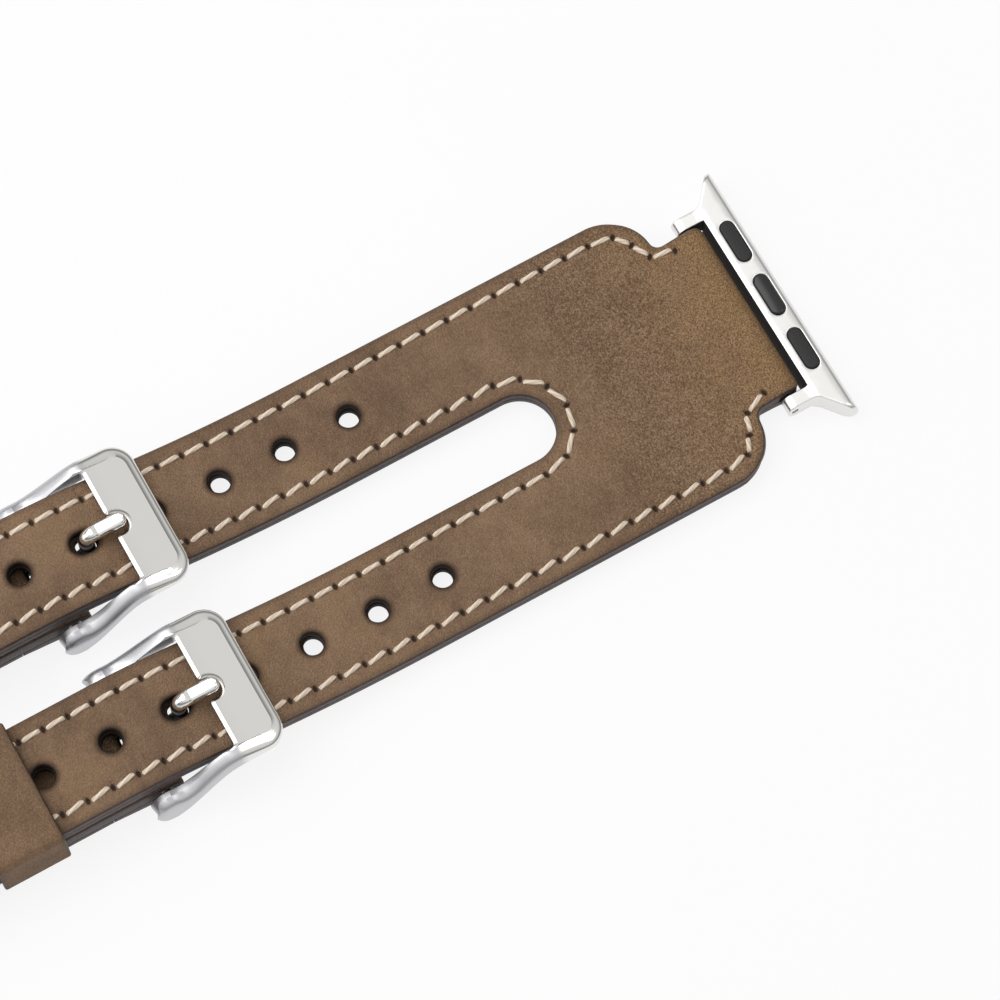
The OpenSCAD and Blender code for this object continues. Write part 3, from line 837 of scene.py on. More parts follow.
def inside(points: Rows, loop: Rows) -> np.ndarray:
    """Finds which points lie inside a closed outline.

    A point is inside where a line from it along +x crosses the outline an odd number of times.

    Args:
        points: rows of x and y.
        loop: the outline.

    Returns:
        True for each point inside.
    """
    x0, y0 = loop.T
    x1, y1 = np.roll(x0, -1), np.roll(y0, -1)
    found = []
    for part in np.array_split(points, len(points) // 3000 + 1):
        x, y = part[:, :1], part[:, 1:2]
        crosses = (y0 > y) != (y1 > y)
        with np.errstate(divide="ignore", invalid="ignore"):
            at = x0 + (y - y0) * (x1 - x0) / (y1 - y0)
        found.append(np.sum(crosses & (x < at), axis=1) % 2 == 1)
    return np.concatenate(found)


def between(points: Rows, loops: list) -> np.ndarray:
    """Finds which points lie inside the first outline and outside the others.

    Args:
        points: rows of x and y.
        loops: the outlines.

    Returns:
        True for each such point.
    """
    keep = inside(points, loops[0])
    for loop in loops[1:]:
        keep &= ~inside(points, loop)
    return keep


def closest(points: Rows, targets: Rows) -> tuple[np.ndarray, np.ndarray]:
    """Finds the target next to each point.

    Args:
        points: rows of x and y.
        targets: rows of x and y.

    Returns:
        The number of each point's closest target, and its distance.
    """
    tree = KDTree(len(targets))
    for i, target in enumerate(targets.tolist()):
        tree.insert((*target, 0.0), i)
    tree.balance()
    found = [tree.find((*p, 0.0))[1:] for p in points.tolist()]
    return (np.array([f[0] for f in found], int), np.array([f[1] for f in found], float))


def distinct(points: Rows, gap: float) -> Rows:
    """Returns the first point of each square of a grid that is gap wide."""
    _, first = np.unique(np.round(points / gap), axis=0, return_index=True)
    return points[np.sort(first)]


class Shell:
    """Blocks of plan rows, and the faces between them, that a plate is put together from."""

    def __init__(self) -> None:
        """Starts with nothing in it."""
        self.blocks: list = []
        self.faces: list = []

    def add(self, plan: Rows, low: bool, depth: float, wall: float) -> int:
        """Adds a block of vertices.

        Args:
            plan: rows of x and y.
            low: whether depth is a height over the bottom.
            depth: depth under the top, or height over the bottom.
            wall: how far the surface has turned to the side there, from 0 to 1.

        Returns:
            The number of the block's first vertex.
        """
        first = sum(len(block[0]) for block in self.blocks)
        n = len(plan)
        self.blocks.append((plan, np.full(n, low), np.full(n, depth), np.full(n, wall)))
        return first

    def ring(self, loop: Rows, r: float, a: float, low: bool) -> int:
        """Adds one ring of a rounding.

        It lies r (1 - sin a) in from the outline and r (1 - cos a) from the face.

        Args:
            loop: the outline.
            r: radius of the rounding.
            a: angle from the face, in radians.
            low: whether it is at the bottom.

        Returns:
            The number of its first vertex.
        """
        plan = loop + left_of(loop) * r * (1 - np.sin(a))
        return self.add(plan, low, r * (1 - np.cos(a)), np.sin(a))

    def band(self, rings: list, n: int) -> None:
        """Joins neighbouring rings of n vertices.

        Args:
            rings: the first vertex of each.
            n: how many vertices each has.
        """
        i = np.arange(n)
        j = (i + 1) % n
        for upper, lower in zip(rings, rings[1:]):
            quads = np.column_stack([upper + j, upper + i, lower + i, lower + j])
            self.faces.extend(quads.tolist())

    def fan(self, first: int, loop: Rows, depth: float) -> None:
        """Closes a ring with a fan round its middle.

        Args:
            first: the ring's first vertex.
            loop: its plan rows.
            depth: depth of the middle under the top.
        """
        middle = self.add(loop.mean(0)[None], False, depth, 1.0)
        i = np.arange(len(loop))
        made = np.column_stack([first + (i + 1) % len(loop), first + i,
                                np.full(len(loop), middle)])
        self.faces.extend(made.tolist())

    def columns(self) -> list[np.ndarray]:
        """Returns the plan, low, depth and wall of all the vertices."""
        return [np.concatenate([block[k] for block in self.blocks]) for k in range(4)]


@dataclass
class Plate:
    """A flat or bent slab: an outline with holes and pockets, and rounded edges.

    The rings of a rounding stand at even angles from the face to the side.
    """

    outline: Rows
    holes: list = field(default_factory=list)
    pockets: list = field(default_factory=list)
    extra: Rows = field(default_factory=lambda: np.zeros((0, 2)))
    spacing: float = 0.6
    under_spacing: float = 2.0
    top_r: float = 0.3
    bottom_r: float = 0.12
    pocket_depth: float = 0.8
    rings: int = 4
    far: float = 3.0
    bore_fade: float = 0.5

    @staticmethod
    def _fill(loops: list, spacing: float, extra: Rows) -> tuple[Rows, np.ndarray]:
        """Fills the space between loops with a net of triangles.

        Args:
            loops: the outer loop and then the inner ones, which come first in the result.
            spacing: distance between the points of the net.
            extra: further points that the net takes in.

        Returns:
            The points, and the triangles turned counter-clockwise.
        """
        edge = np.vstack(loops)
        low, high = loops[0].min(0), loops[0].max(0)
        x, y = np.meshgrid(np.arange(low[0], high[0], spacing),
                           np.arange(low[1], high[1], spacing * 0.87))
        x = x + (np.arange(len(x)) % 2)[:, None] * spacing / 2
        net = np.column_stack([x.ravel(), y.ravel()])
        if len(extra):
            net = np.vstack([extra, net[closest(net, extra)[1] > spacing * 0.5]])
        net = net[closest(net, edge)[1] > min(0.15, spacing / 3)]
        points = np.vstack([edge, net[between(net, loops)]])
        edges, start = [], 0
        for loop in loops:
            numbers = np.arange(start, start + len(loop))
            edges += np.column_stack([numbers, np.roll(numbers, -1)]).tolist()
            start += len(loop)
        made = delaunay_2d_cdt([Vector(p) for p in points.tolist()], edges, [], 0, 1e-6, True)
        source = np.array([ids[0] if ids else -1 for ids in made[3]])
        faces = source[np.array([f for f in made[2] if len(f) == 3])]
        faces = faces[(faces >= 0).all(1)]
        faces = faces[between(points[faces].mean(1), loops)]
        b, c = (points[faces[:, k]] - points[faces[:, 0]] for k in (1, 2))
        turn = b[:, 0] * c[:, 1] - b[:, 1] * c[:, 0] > 0
        return points, np.where(turn[:, None], faces, faces[:, ::-1])

    def _face(self, shell: Shell, loops: list, firsts: list, low: bool) -> None:
        """Fills the top or the bottom between its innermost rings.

        Args:
            shell: what the net is added to.
            loops: the outlines.
            firsts: the first vertex of each outline's innermost ring.
            low: whether it is the bottom.
        """
        r, spacing = (self.bottom_r, self.under_spacing) if low else (self.top_r, self.spacing)
        inset = [loop + left_of(loop) * r for loop in loops]
        points, made = self._fill(inset, spacing, np.zeros((0, 2)) if low else self.extra)
        rim = np.concatenate([first + np.arange(len(p)) for first, p in zip(firsts, loops)])
        rest = shell.add(points[len(rim):], low, 0.0, 0.0)
        numbers = np.concatenate([rim, rest + np.arange(len(points) - len(rim))])
        made = numbers[made]
        shell.faces.extend((made[:, ::-1] if low else made).tolist())

    def build(self, place: Placer) -> Mesh:
        """Makes the closed mesh.

        Args:
            place: gives points from plan rows, whether each is measured up from the bottom,
                and its depth from the top or height from the bottom.

        Returns:
            The mesh with wall (1 on the sides), edge (distance to an edge) and bore (1 at a
            hole, exp(-(d / 0.5)^2) at a distance d from it).
        """
        through = [turned_to(self.outline, 1), *(turned_to(h, -1) for h in self.holes)]
        blind = [turned_to(p, -1) for p in self.pockets]
        angles = np.radians(np.linspace(0, 90, self.rings + 1))
        shell = Shell()
        tops, bottoms = [], []
        for loop in through:
            rings = [shell.ring(loop, self.top_r, a, False) for a in angles]
            rings += [shell.ring(loop, self.bottom_r, a, True) for a in angles[::-1]]
            shell.band(rings, len(loop))
            tops.append(rings[0])
            bottoms.append(rings[-1])
        for loop in blind:
            rings = [shell.ring(loop, self.top_r, a, False) for a in angles]
            rings.append(shell.add(loop, False, self.pocket_depth, 1.0))
            shell.band(rings, len(loop))
            tops.append(rings[0])
            shell.fan(rings[-1], loop, self.pocket_depth)
        self._face(shell, through + blind, tops, False)
        self._face(shell, through, bottoms, True)
        plan, low, depth, wall = shell.columns()
        edge = np.minimum(closest(plan, np.vstack(through + blind))[1], self.far)
        bore = np.zeros(len(plan))
        if self.holes:
            bore = np.exp(-(closest(plan, np.vstack(self.holes))[1] / self.bore_fade) ** 2)
        return Mesh(place(plan, low, depth), shell.faces,
                    {"wall": ease(wall * 2 - 0.7), "edge": edge, "bore": bore})


def sweep(path: Rows, across: Rows, wide: np.ndarray, high: np.ndarray) -> Mesh:
    """Carries a section along a path, closed at both ends.

    A section's vertex lies wide along the across direction and high along the rise, which is
    at right angles to the path and to across.

    Args:
        path: points of the middle line.
        across: one direction, or one for each point.
        wide: offsets of each section's vertices, one row for each point of the path.
        high: the same at right angles.

    Returns:
        The mesh.
    """
    along = unit(np.gradient(path, axis=0))
    across = np.broadcast_to(across, path.shape)
    rise = np.cross(along, across)
    points = (path[:, None] + across[:, None] * wide[..., None] + rise[:, None] * high[..., None])
    return Mesh(points.reshape(-1, 3), capped_faces(*wide.shape))


# Leather


@dataclass(frozen=True)
class Bend:
    """S-bend of a strap: an arc up, a straight climb and an arc back to level."""

    start: float
    first_r: float
    straight: float
    second_r: float
    angle: float

    def lift(self, x: np.ndarray) -> np.ndarray:
        """Finds the height over the flat start.

        The first arc rises r - sqrt(r^2 - dx^2), the climb rises with the tangent of the angle,
        and the second arc is the same turned over, measured back from its level end.

        Args:
            x: distances from the lug bar.

        Returns:
            The height at each.
        """
        a = np.radians(self.angle)
        r1, r2 = self.first_r, self.second_r
        x1 = self.start + r1 * np.sin(a)
        x2 = x1 + self.straight * np.cos(a)
        x3 = x2 + r2 * np.sin(a)
        z1 = r1 * (1 - np.cos(a))
        top = z1 + self.straight * np.sin(a) + r2 * (1 - np.cos(a))
        first = r1 - np.sqrt(r1**2 - np.clip(x - self.start, 0, x1 - self.start) ** 2)
        last = top - r2 + np.sqrt(r2**2 - np.clip(x3 - x, 0, x3 - x2) ** 2)
        return np.select([x < x1, x < x2], [first, z1 + (x - x1) * np.tan(a)], last)

    def layer(self, x0: float, x1: float, height: float) -> Rows:
        """Lays points at a height over the bent seam, measured square to it.

        Args:
            x0: x of the start.
            x1: x of the end.
            height: height over the seam, under 0 for a depth below it.

        Returns:
            Rows of x and z.
        """
        x = np.linspace(x0, x1, max(2, int((x1 - x0) / 0.4)))
        slope = np.arctan((self.lift(x + 0.01) - self.lift(x - 0.01)) / 0.02)
        return np.column_stack([x - height * np.sin(slope),
                                SEAM_Z + self.lift(x) + height * np.cos(slope)])


TAIL_BEND = Bend(start=50.2, first_r=110.0, straight=4.885, second_r=50.0, angle=12.5)
END_BEND = Bend(start=30.0, first_r=30.0, straight=0.0, second_r=30.0, angle=10.21)


class Part(Enum):
    """Stretch of a skin: before the lug fold, between the folds, or after the bar fold."""

    START = 0
    TOP = 1
    FINISH = 2


class Skin:
    """Grain side of folded leather as a path of x and z, with the leather on its right."""

    def __init__(self, corners: Rows, keys: Sequence[tuple[Part, float, float]]) -> None:
        """Lays the path and gives it thicknesses.

        Args:
            corners: points that the path follows.
            keys: thicknesses as (stretch, x, thickness), in order.
        """
        self.path = self._smooth(resample(corners, int(lengths(corners)[-1] / 0.1)))
        self.u = lengths(self.path)
        self.turns = (int(np.argmin(self.path[:, 0])), int(np.argmax(self.path[:, 0])))
        self.normal = quarter_left(unit(self._smooth(np.gradient(self.path, axis=0))))
        at = [self.along(x, part) for part, x, _ in keys]
        self.thick = np.interp(self.u, at, [t for _, _, t in keys])

    @staticmethod
    def _smooth(rows: Rows) -> Rows:
        """Averages each row with the four on either side, but for the four at each end.

        Args:
            rows: rows of two numbers.

        Returns:
            The smoothed rows.
        """
        made = rows.copy()
        for k in range(2):
            made[4:-4, k] = np.convolve(rows[:, k], np.ones(9) / 9, "valid")
        return made

    def along(self, x: np.ndarray | float, part: Part = Part.TOP) -> np.ndarray | float:
        """Finds the length along the path where one of its stretches is at x.

        Args:
            x: distances from the lug bar.
            part: the stretch.

        Returns:
            The length for each.
        """
        fold, end = self.turns
        if part is Part.TOP:
            return np.interp(x, self.path[fold:end + 1, 0], self.u[fold:end + 1])
        cut = slice(0, fold + 1) if part is Part.START else slice(end, None)
        return np.interp(-x, -self.path[cut, 0], self.u[cut])

    def unroll(self, plan: Rows, part: Part = Part.TOP) -> Rows:
        """Returns plan rows of x and y as rows of length along a stretch and y."""
        return np.column_stack([self.along(plan[:, 0], part), plan[:, 1]])

    def place(self, plan: Rows, over: np.ndarray) -> Rows:
        """Bends unrolled rows back onto the skin.

        Args:
            plan: rows of length along the path and y.
            over: the height of each over the grain side, square to it.

        Returns:
            Rows of x, y and z.
        """
        u = np.clip(plan[:, 0], 0, self.u[-1])
        x, z, nx, nz = (np.interp(u, self.u, c) for c in (*self.path.T, *self.normal.T))
        return np.column_stack([x + nx * over, plan[:, 1], z + nz * over])


@dataclass(frozen=True)
class Punch:
    """Adjusting holes of a layer: round ones, and a longer one where the tongue is."""

    width: float
    tongue_shift: float
    tongue_length: float
    tongue_width: float

    def holes(self) -> list:
        """Lays the holes of both straps.

        Returns:
            Their outlines in plan.
        """
        made = []
        for side in Side:
            for i in range(HOLE_COUNT):
                x, y = HOLE_FIRST + HOLE_PITCH * i, side.value * STRAP_Y
                hole = stadium(x, y, self.width + 0.001, self.width, True)
                if i == HOLE_USED:
                    hole = stadium(x + self.tongue_shift, y, self.tongue_length,
                                   self.tongue_width, True)
                made.append(hole)
        return made


TOP_PUNCH = Punch(width=2.7, tongue_shift=0.3, tongue_length=3.3, tongue_width=2.7)
LINING_PUNCH = Punch(width=2.4, tongue_shift=0.29, tongue_length=2.56, tongue_width=1.98)


@dataclass
class Layer:
    """One layer of leather: a skin, its cut outline and holes, and the seams through it.

    The awl's holes and the seams' grooves have a depth in the middle and a distance at which
    they fade. So has the tan at the lug fold and at the bar fold.
    """

    name: str
    skin: Skin
    outline: Rows
    holes: list
    runs: list
    half: Half
    awl_deep: float = 0.45
    awl_long: float = 0.31
    awl_wide: float = 0.5
    groove_deep: float = 0.09
    groove_wide: float = 0.5
    lug_tan: float = 0.95
    lug_fade: float = 8.0
    bar_tan: float = 0.6
    bar_fade: float = 3.0
    ovals: tuple = ((0.38, 0.17, 8), (0.62, 0.38, 10))

    def _net(self, awls: Rows, ahead: Rows, across: Rows) -> Rows:
        """Lays two ovals of points round each awl hole, for the net to follow it.

        Args:
            awls: the awl holes.
            ahead: direction of the seam at each.
            across: the same, turned to its left.

        Returns:
            The awl holes and the ovals' points, none closer than about 0.06.
        """
        net = [awls]
        for wide, long, count in self.ovals:
            a = around(count)
            oval = (awls[:, None] + ahead[:, None] * (long * np.cos(a))[None, :, None]
                    + across[:, None] * (wide * np.sin(a))[None, :, None])
            net.append(oval.reshape(-1, 2))
        return distinct(np.vstack(net), 0.06)

    def _tan(self, x: np.ndarray) -> np.ndarray:
        """Finds how tan the leather is where the folds stretch it.

        It is 0.95 exp(-x / 8) past the lug fold, and 0.6 exp(-x / 3) before the bar
        fold if that is more.

        Args:
            x: distances from the lug bar.

        Returns:
            The share of tan at each.
        """
        tan = self.lug_tan * np.exp(-np.maximum(x, 0) / self.lug_fade)
        if self.half is Half.TAIL:
            return tan
        left = np.maximum(END_LEN + 1 - x, 0)
        return np.maximum(tan, self.bar_tan * np.exp(-left / self.bar_fade))

    def build(self) -> Mesh:
        """Makes the layer, holed by the awl and drawn in along the seams.

        An awl hole is 0.45 exp(-(a / 0.31)^2 - (c / 0.5)^2) deep, with a along the seam and c
        across it, and the seam lies 0.09 exp(-(d / 0.5)^2) deep at a distance d.

        Returns:
            The mesh in the part's frame, with awl, depth and tan.
        """
        awls = np.vstack(self.runs)
        ahead = unit(np.vstack([np.gradient(run, axis=0) for run in self.runs]))
        across = quarter_left(ahead)
        seam = np.vstack([resample(run, int(lengths(run)[-1] / 0.3) + 2) for run in self.runs])
        found = {}

        def place(plan: Rows, low: np.ndarray, depth: np.ndarray) -> Rows:
            """Lays the plan on the skin and presses the seams into its grain side.

            Args:
                plan: rows of length along the path and y.
                low: whether each is measured up from the bottom.
                depth: depth under the top, or height over the bottom.

            Returns:
                Rows of x, y and z.
            """
            number, _ = closest(plan, awls)
            away = plan - awls[number]
            a = np.sum(away * ahead[number], 1) / self.awl_long
            c = np.sum(away * across[number], 1) / self.awl_wide
            found["awl"] = np.where(low, 0, np.exp(-a * a - c * c))
            groove = np.exp(-(closest(plan, seam)[1] / self.groove_wide) ** 2)
            press = found["awl"] * self.awl_deep + np.where(low, 0, self.groove_deep * groove)
            thick = np.interp(plan[:, 0], self.skin.u, self.skin.thick)
            found["depth"] = np.where(low, thick - depth, depth)
            return self.skin.place(plan, np.where(low, depth - thick, -depth - press))

        net = self._net(awls, ahead, across)
        mesh = Plate(self.outline, self.holes, extra=net).build(place)
        mesh.values.update(found, tan=self._tan(mesh.points[:, 0]))
        mesh.points = self.half.to_world(mesh.points)
        return mesh


@dataclass
class Seam:
    """Saddle stitches between the awl holes of runs in plan, laid on one side of a skin."""

    skin: Skin
    part: Part
    runs: list
    half: Half
    gap: float = 0.5
    width: float = 0.29
    height: float = 0.2
    strands: int = 3
    rings: int = 13
    sides: int = 10
    twist: float = 1.5
    strand: float = 0.1
    taper: float = 0.4
    dive: float = 0.5
    lean: float = 5.0
    low_lean: float = 13.0

    def _turned(self, middle: Rows) -> np.ndarray:
        """Finds how far each stitch is turned from its row.

        The thread leans most on the rows along each strap's lower edge.

        Args:
            middle: the middle of each stitch, in plan.

        Returns:
            The angles in radians.
        """
        y = middle[:, 1] * (1 if self.half is Half.TAIL else -1)
        lower = ((y > 0) & (np.abs(y) > STRAP_Y)) | ((y < 0) & (np.abs(y) < STRAP_Y))
        return np.radians(np.where(lower, self.low_lean, self.lean))

    def build(self) -> Mesh:
        """Makes every stitch as a twisted thread that dives into its holes.

        With t from -1 to 1 along a stitch, its middle line lies 0.5 t^6 below the leather and
        its radius is 1 - 0.4 t^6. Strands stand out by a tenth.

        Returns:
            The mesh in the part's frame, with lobe (1 on a strand, 0 between two).
        """
        start = np.vstack([run[:-1] for run in self.runs])
        end = np.vstack([run[1:] for run in self.runs])
        middle, reach = (start + end) / 2, end - start
        size = np.linalg.norm(reach, axis=1)
        turn = self._turned(middle) + np.arctan2(reach[:, 1], reach[:, 0])
        ahead = np.column_stack([np.cos(turn), np.sin(turn)])
        t = np.linspace(-1, 1, self.rings)[:, None]
        a = around(self.sides)[None]
        wave = np.cos(self.strands * (a + self.twist * t))
        r = (1 - self.taper * t**6) * (1 + self.strand * wave)
        wide = self.width * r * np.cos(a)
        high = self.height * r * np.sin(a) - self.dive * t**6
        long = t * (size - self.gap)[:, None, None] / 2
        plan = (middle[:, None, None] + ahead[:, None, None] * long[..., None]
                + quarter_left(ahead)[:, None, None] * wide[..., None]).reshape(-1, 2)
        points = self.skin.place(self.skin.unroll(plan, self.part),
                                 np.tile(high.ravel(), len(size)))
        block = self.rings * self.sides
        first = np.arange(len(size)) * block
        tube = np.array(grid_faces(self.rings, self.sides))
        faces = (tube[None] + first[:, None, None]).reshape(-1, 4).tolist()
        for cap in (np.arange(self.sides)[::-1], np.arange(block - self.sides, block)):
            faces += (cap[None] + first[:, None]).tolist()
        lobe = np.tile((wave * 0.5 + 0.5).ravel(), len(size))
        return Mesh(self.half.to_world(points), faces, {"lobe": lobe})


def neck_side() -> Rows:
    """Lays the edge from beside the lug bar to the end of the shoulder, y over 0.

    Returns:
        The edge in plan.
    """
    return np.vstack([
        line(1, NECK, 3.0, NECK),
        arc(SHOULDER_X - NOTCH_R, NECK + NOTCH_R, NOTCH_R, -90, 0, 0.2),
        arc(CORNER_X, CORNER_Y, SHOULDER_R, 175, 90)])


def evenly(path: Rows) -> Rows:
    """Returns awl holes spaced along a path as close to the stitch pitch as fits."""
    return resample(path, round(lengths(path)[-1] / PITCH) + 1)


class StrapHalf:
    """One half of the band: its folded top leather, its lining and their seams."""

    def __init__(self, half: Half) -> None:
        """Lays the skins of that half.

        Args:
            half: which one it is.
        """
        self.half = half
        self.tail = half is Half.TAIL
        self.bend = TAIL_BEND if self.tail else END_BEND
        self.last = TAIL_LEN if self.tail else FOLD_X
        toe = np.array([(TURN_BACK, PLATE_LIFT), (1.7, PLATE_LIFT)])
        curl = arc(0, LUG_R, LUG_R, -90, -270, 0.1)
        keys = [(Part.START, TURN_BACK, LAYER_T), (Part.START, TOE_X, LAYER_T),
                (Part.START, LUG_FILL, 1.69), (Part.START, LUG_GRIP, LAYER_T),
                (Part.TOP, LUG_GRIP, LAYER_T), (Part.TOP, LUG_FILL, 1.84),
                (Part.TOP, TOE_X, LAYER_T)]
        rest, more = self._past_neck()
        self.grain = Skin(np.vstack([toe, curl, *rest]), keys + more)
        back = self.bend.layer(TURN_BACK, self.last, -LAYER_T)[::-1]
        self.lining_skin = Skin(back, [(Part.START, self.last, LAYER_T),
                                       (Part.START, TURN_BACK, LAYER_T)])
        self.back = Skin(np.vstack([back, toe[1:], [(0.0, 0.0)]]),
                         [(Part.START, self.last, LAYER_T), (Part.START, 1.0, LAYER_T)])

    def _past_neck(self) -> tuple[list, list]:
        """Lays the grain side from the neck on.

        The tail follows its bend. The other half thickens after it and folds round the bar.

        Returns:
            Paths of x and z, and thicknesses as (stretch, x, thickness).
        """
        if self.tail:
            return [self.bend.layer(TOE_X, TAIL_LEN, LAYER_T)], []
        x = np.linspace(THICK_START, THICK_FULL, 20)
        rise = THICK_RISE * ease((x - THICK_START) / (THICK_FULL - THICK_START))
        rest = [self.bend.layer(TOE_X, THICK_START - 0.1, LAYER_T),
                np.column_stack([x, THICK_LOW + rise]),
                line(THICK_FULL + 0.2, THICK_TOP, FOLD_X, THICK_TOP),
                arc(END_LEN, BAR_R, BAR_R, 90, -90, 0.1), np.array([(FOLD_X, FOLD_Z)])]
        full = LAYER_T + THICK_RISE
        keys = [(Part.TOP, THICK_START, LAYER_T), (Part.TOP, THICK_FULL, full),
                (Part.TOP, BAR_FILL, full), (Part.TOP, BAR_GRIP, 1.25),
                (Part.FINISH, BAR_GRIP, 1.25), (Part.FINISH, BAR_FILL, 2.0),
                (Part.FINISH, FOLD_X, LAYER_T)]
        return rest, keys

    def _plan_edge(self) -> Rows:
        """Lays the edge from the shoulder's end to the slot's closed end, y over 0.

        Returns:
            The edge in plan.
        """
        slot = SLOT_W / 2
        if self.tail:
            tip = TAIL_LEN - STRAP_W / 2
            end = arc(tip, STRAP_Y, STRAP_W / 2, 90, -90)
        else:
            tip = self.last
            end = line(tip, HALF_W, tip, slot)
        return np.vstack([line(CORNER_X, HALF_W, tip, HALF_W), end,
                          line(tip, slot, SLOT_CX, slot), arc(SLOT_CX, 0, slot, 90, 180)])

    def _runs(self) -> list:
        """Lays the seams for both straps and round the slot.

        Returns:
            Each seam's awl holes in plan.
        """
        neck = np.vstack([[(SHOULDER_X - INSET, NECK - 1.4), (SHOULDER_X + 0.8, NECK - 0.35)],
                          resample(arc(CORNER_X, CORNER_Y, SHOULDER_R - 1.7, 162, 128), 2)])
        out, inn = HALF_W - INSET, SLOT_W / 2 + INSET
        tip = TAIL_LEN - STRAP_W / 2 if self.tail else FOLD_X - 0.6
        runs = [np.vstack([neck, evenly(line(CORNER_X + 0.6, out, tip, out))]),
                evenly(line(tip, inn, SLOT_CX, inn))]
        if self.tail:
            runs.insert(1, evenly(arc(tip, STRAP_Y, STRAP_W / 2 - INSET, 90, -90)))
        both = runs + [run * (1, -1) for run in runs]
        return both + [evenly(arc(SLOT_CX, 0, inn, 90, 270))]

    def _neck_edge(self) -> Rows:
        """Unrolls the neck's edge from its turned-back end round the lug fold, y over 0.

        The edge is drawn in at the fold by 1 - sqrt(1 - d^2) at a distance d past -1.05.

        Returns:
            Rows of length along the grain side and y.
        """
        skin, side = self.grain, neck_side()
        under = side[side[:, 0] < TURN_BACK][::-1]
        start = skin.unroll(np.vstack([[BACK_CORNER], under]), Part.START)
        u = np.arange(start[-1, 0] + 0.25, skin.along(LUG_GRIP), 0.25)
        x = np.interp(u, skin.u, skin.path[:, 0])
        round_in = 1 - np.sqrt(1 - np.clip(-1.05 - x, 0, 0.98) ** 2)
        return np.vstack([start, np.column_stack([u, NECK - round_in])])

    def _strap_edge(self) -> Rows:
        """Unrolls the edge from beside the lug bar to the slot's closed end, y over 0.

        Returns:
            Rows of length along the grain side and y.
        """
        skin, side = self.grain, neck_side()
        if self.tail:
            return skin.unroll(np.vstack([side, self._plan_edge()]))
        slot, end = SLOT_W / 2, skin.u[-1]
        return np.vstack([
            skin.unroll(side), line(skin.along(side[-1, 0]), HALF_W, end, HALF_W),
            line(end, HALF_W, end, slot), line(end, slot, skin.along(SLOT_CX), slot),
            skin.unroll(arc(SLOT_CX, 0, slot, 90, 180))])

    def _bar_slots(self) -> list:
        """Lays the rounded cuts in the bar fold that the tongues come through.

        Returns:
            The unrolled outline of each.
        """
        u0, u1 = self.grain.along(CUT_X), self.grain.along(CUT_X, Part.FINISH)
        r, w = CUT_R, CUT_HALF_W - CUT_R
        corners = ((u0 + r, -w, 180), (u1 - r, -w, 270), (u1 - r, w, 0), (u0 + r, w, 90))
        made = []
        for side in Side:
            y = side.value * STRAP_Y
            loop = np.vstack([arc(u, y + v, r, a, a + 90, 0.2) for u, v, a in corners])
            made.append(spaced(loop, 59))
        return made

    def top(self) -> Layer:
        """Cuts the top leather, from the turned-back neck to the tip or the bar fold.

        Returns:
            The layer.
        """
        skin = self.grain
        edge = np.vstack([self._neck_edge(), self._strap_edge()])
        outline = np.vstack([line(0, edge[0, 1], 0, -edge[0, 1]), edge * (1, -1), edge[::-1]])
        holes = [skin.unroll(h) for h in TOP_PUNCH.holes()] if self.tail else self._bar_slots()
        runs = [skin.unroll(run) for run in self._runs()]
        name = "tail_top_leather" if self.tail else "buckle_end_top_leather"
        return Layer(name, skin, outline, holes, runs, self.half)

    def lining(self) -> Layer:
        """Cuts the lining, from where the neck's leather ends to the tip or the fold.

        Returns:
            The layer.
        """
        skin, side = self.lining_skin, neck_side()
        edge = np.vstack([[BACK_CORNER], side[side[:, 0] > TURN_BACK], self._plan_edge()])
        outline = np.vstack([line(TURN_BACK, edge[0, 1], TURN_BACK, -edge[0, 1]),
                             edge * (1, -1), edge[::-1]])
        holes = LINING_PUNCH.holes() if self.tail else []
        runs = [run[run[:, 0] > TURN_BACK + 0.5] for run in self._runs()]
        name = "tail_lining" if self.tail else "buckle_end_lining"
        return Layer(name, skin, skin.unroll(outline, Part.START),
                     [skin.unroll(hole, Part.START) for hole in holes],
                     [skin.unroll(run, Part.START) for run in runs if len(run) > 1], self.half)

    def build(self, finishes: Finishes) -> None:
        """Makes both layers and the stitches on both sides.

        Args:
            finishes: the materials.
        """
        word = "tail" if self.tail else "buckle"
        top, lining = self.top(), self.lining()
        finishes.dress(top.build(), top.name, "leather_top", f"{word}_half_leather")
        finishes.dress(lining.build(), lining.name, "leather_lining", f"{word}_half_lining")
        runs = self._runs()
        for skin, part, tag in ((self.grain, Part.TOP, ""), (self.back, Part.START, "lining_")):
            mesh = Seam(skin, part, runs, self.half).build()
            finishes.dress(mesh, f"{word}_{tag}stitches", "waxed_thread",
                           f"{word}_half_{tag}stitching")


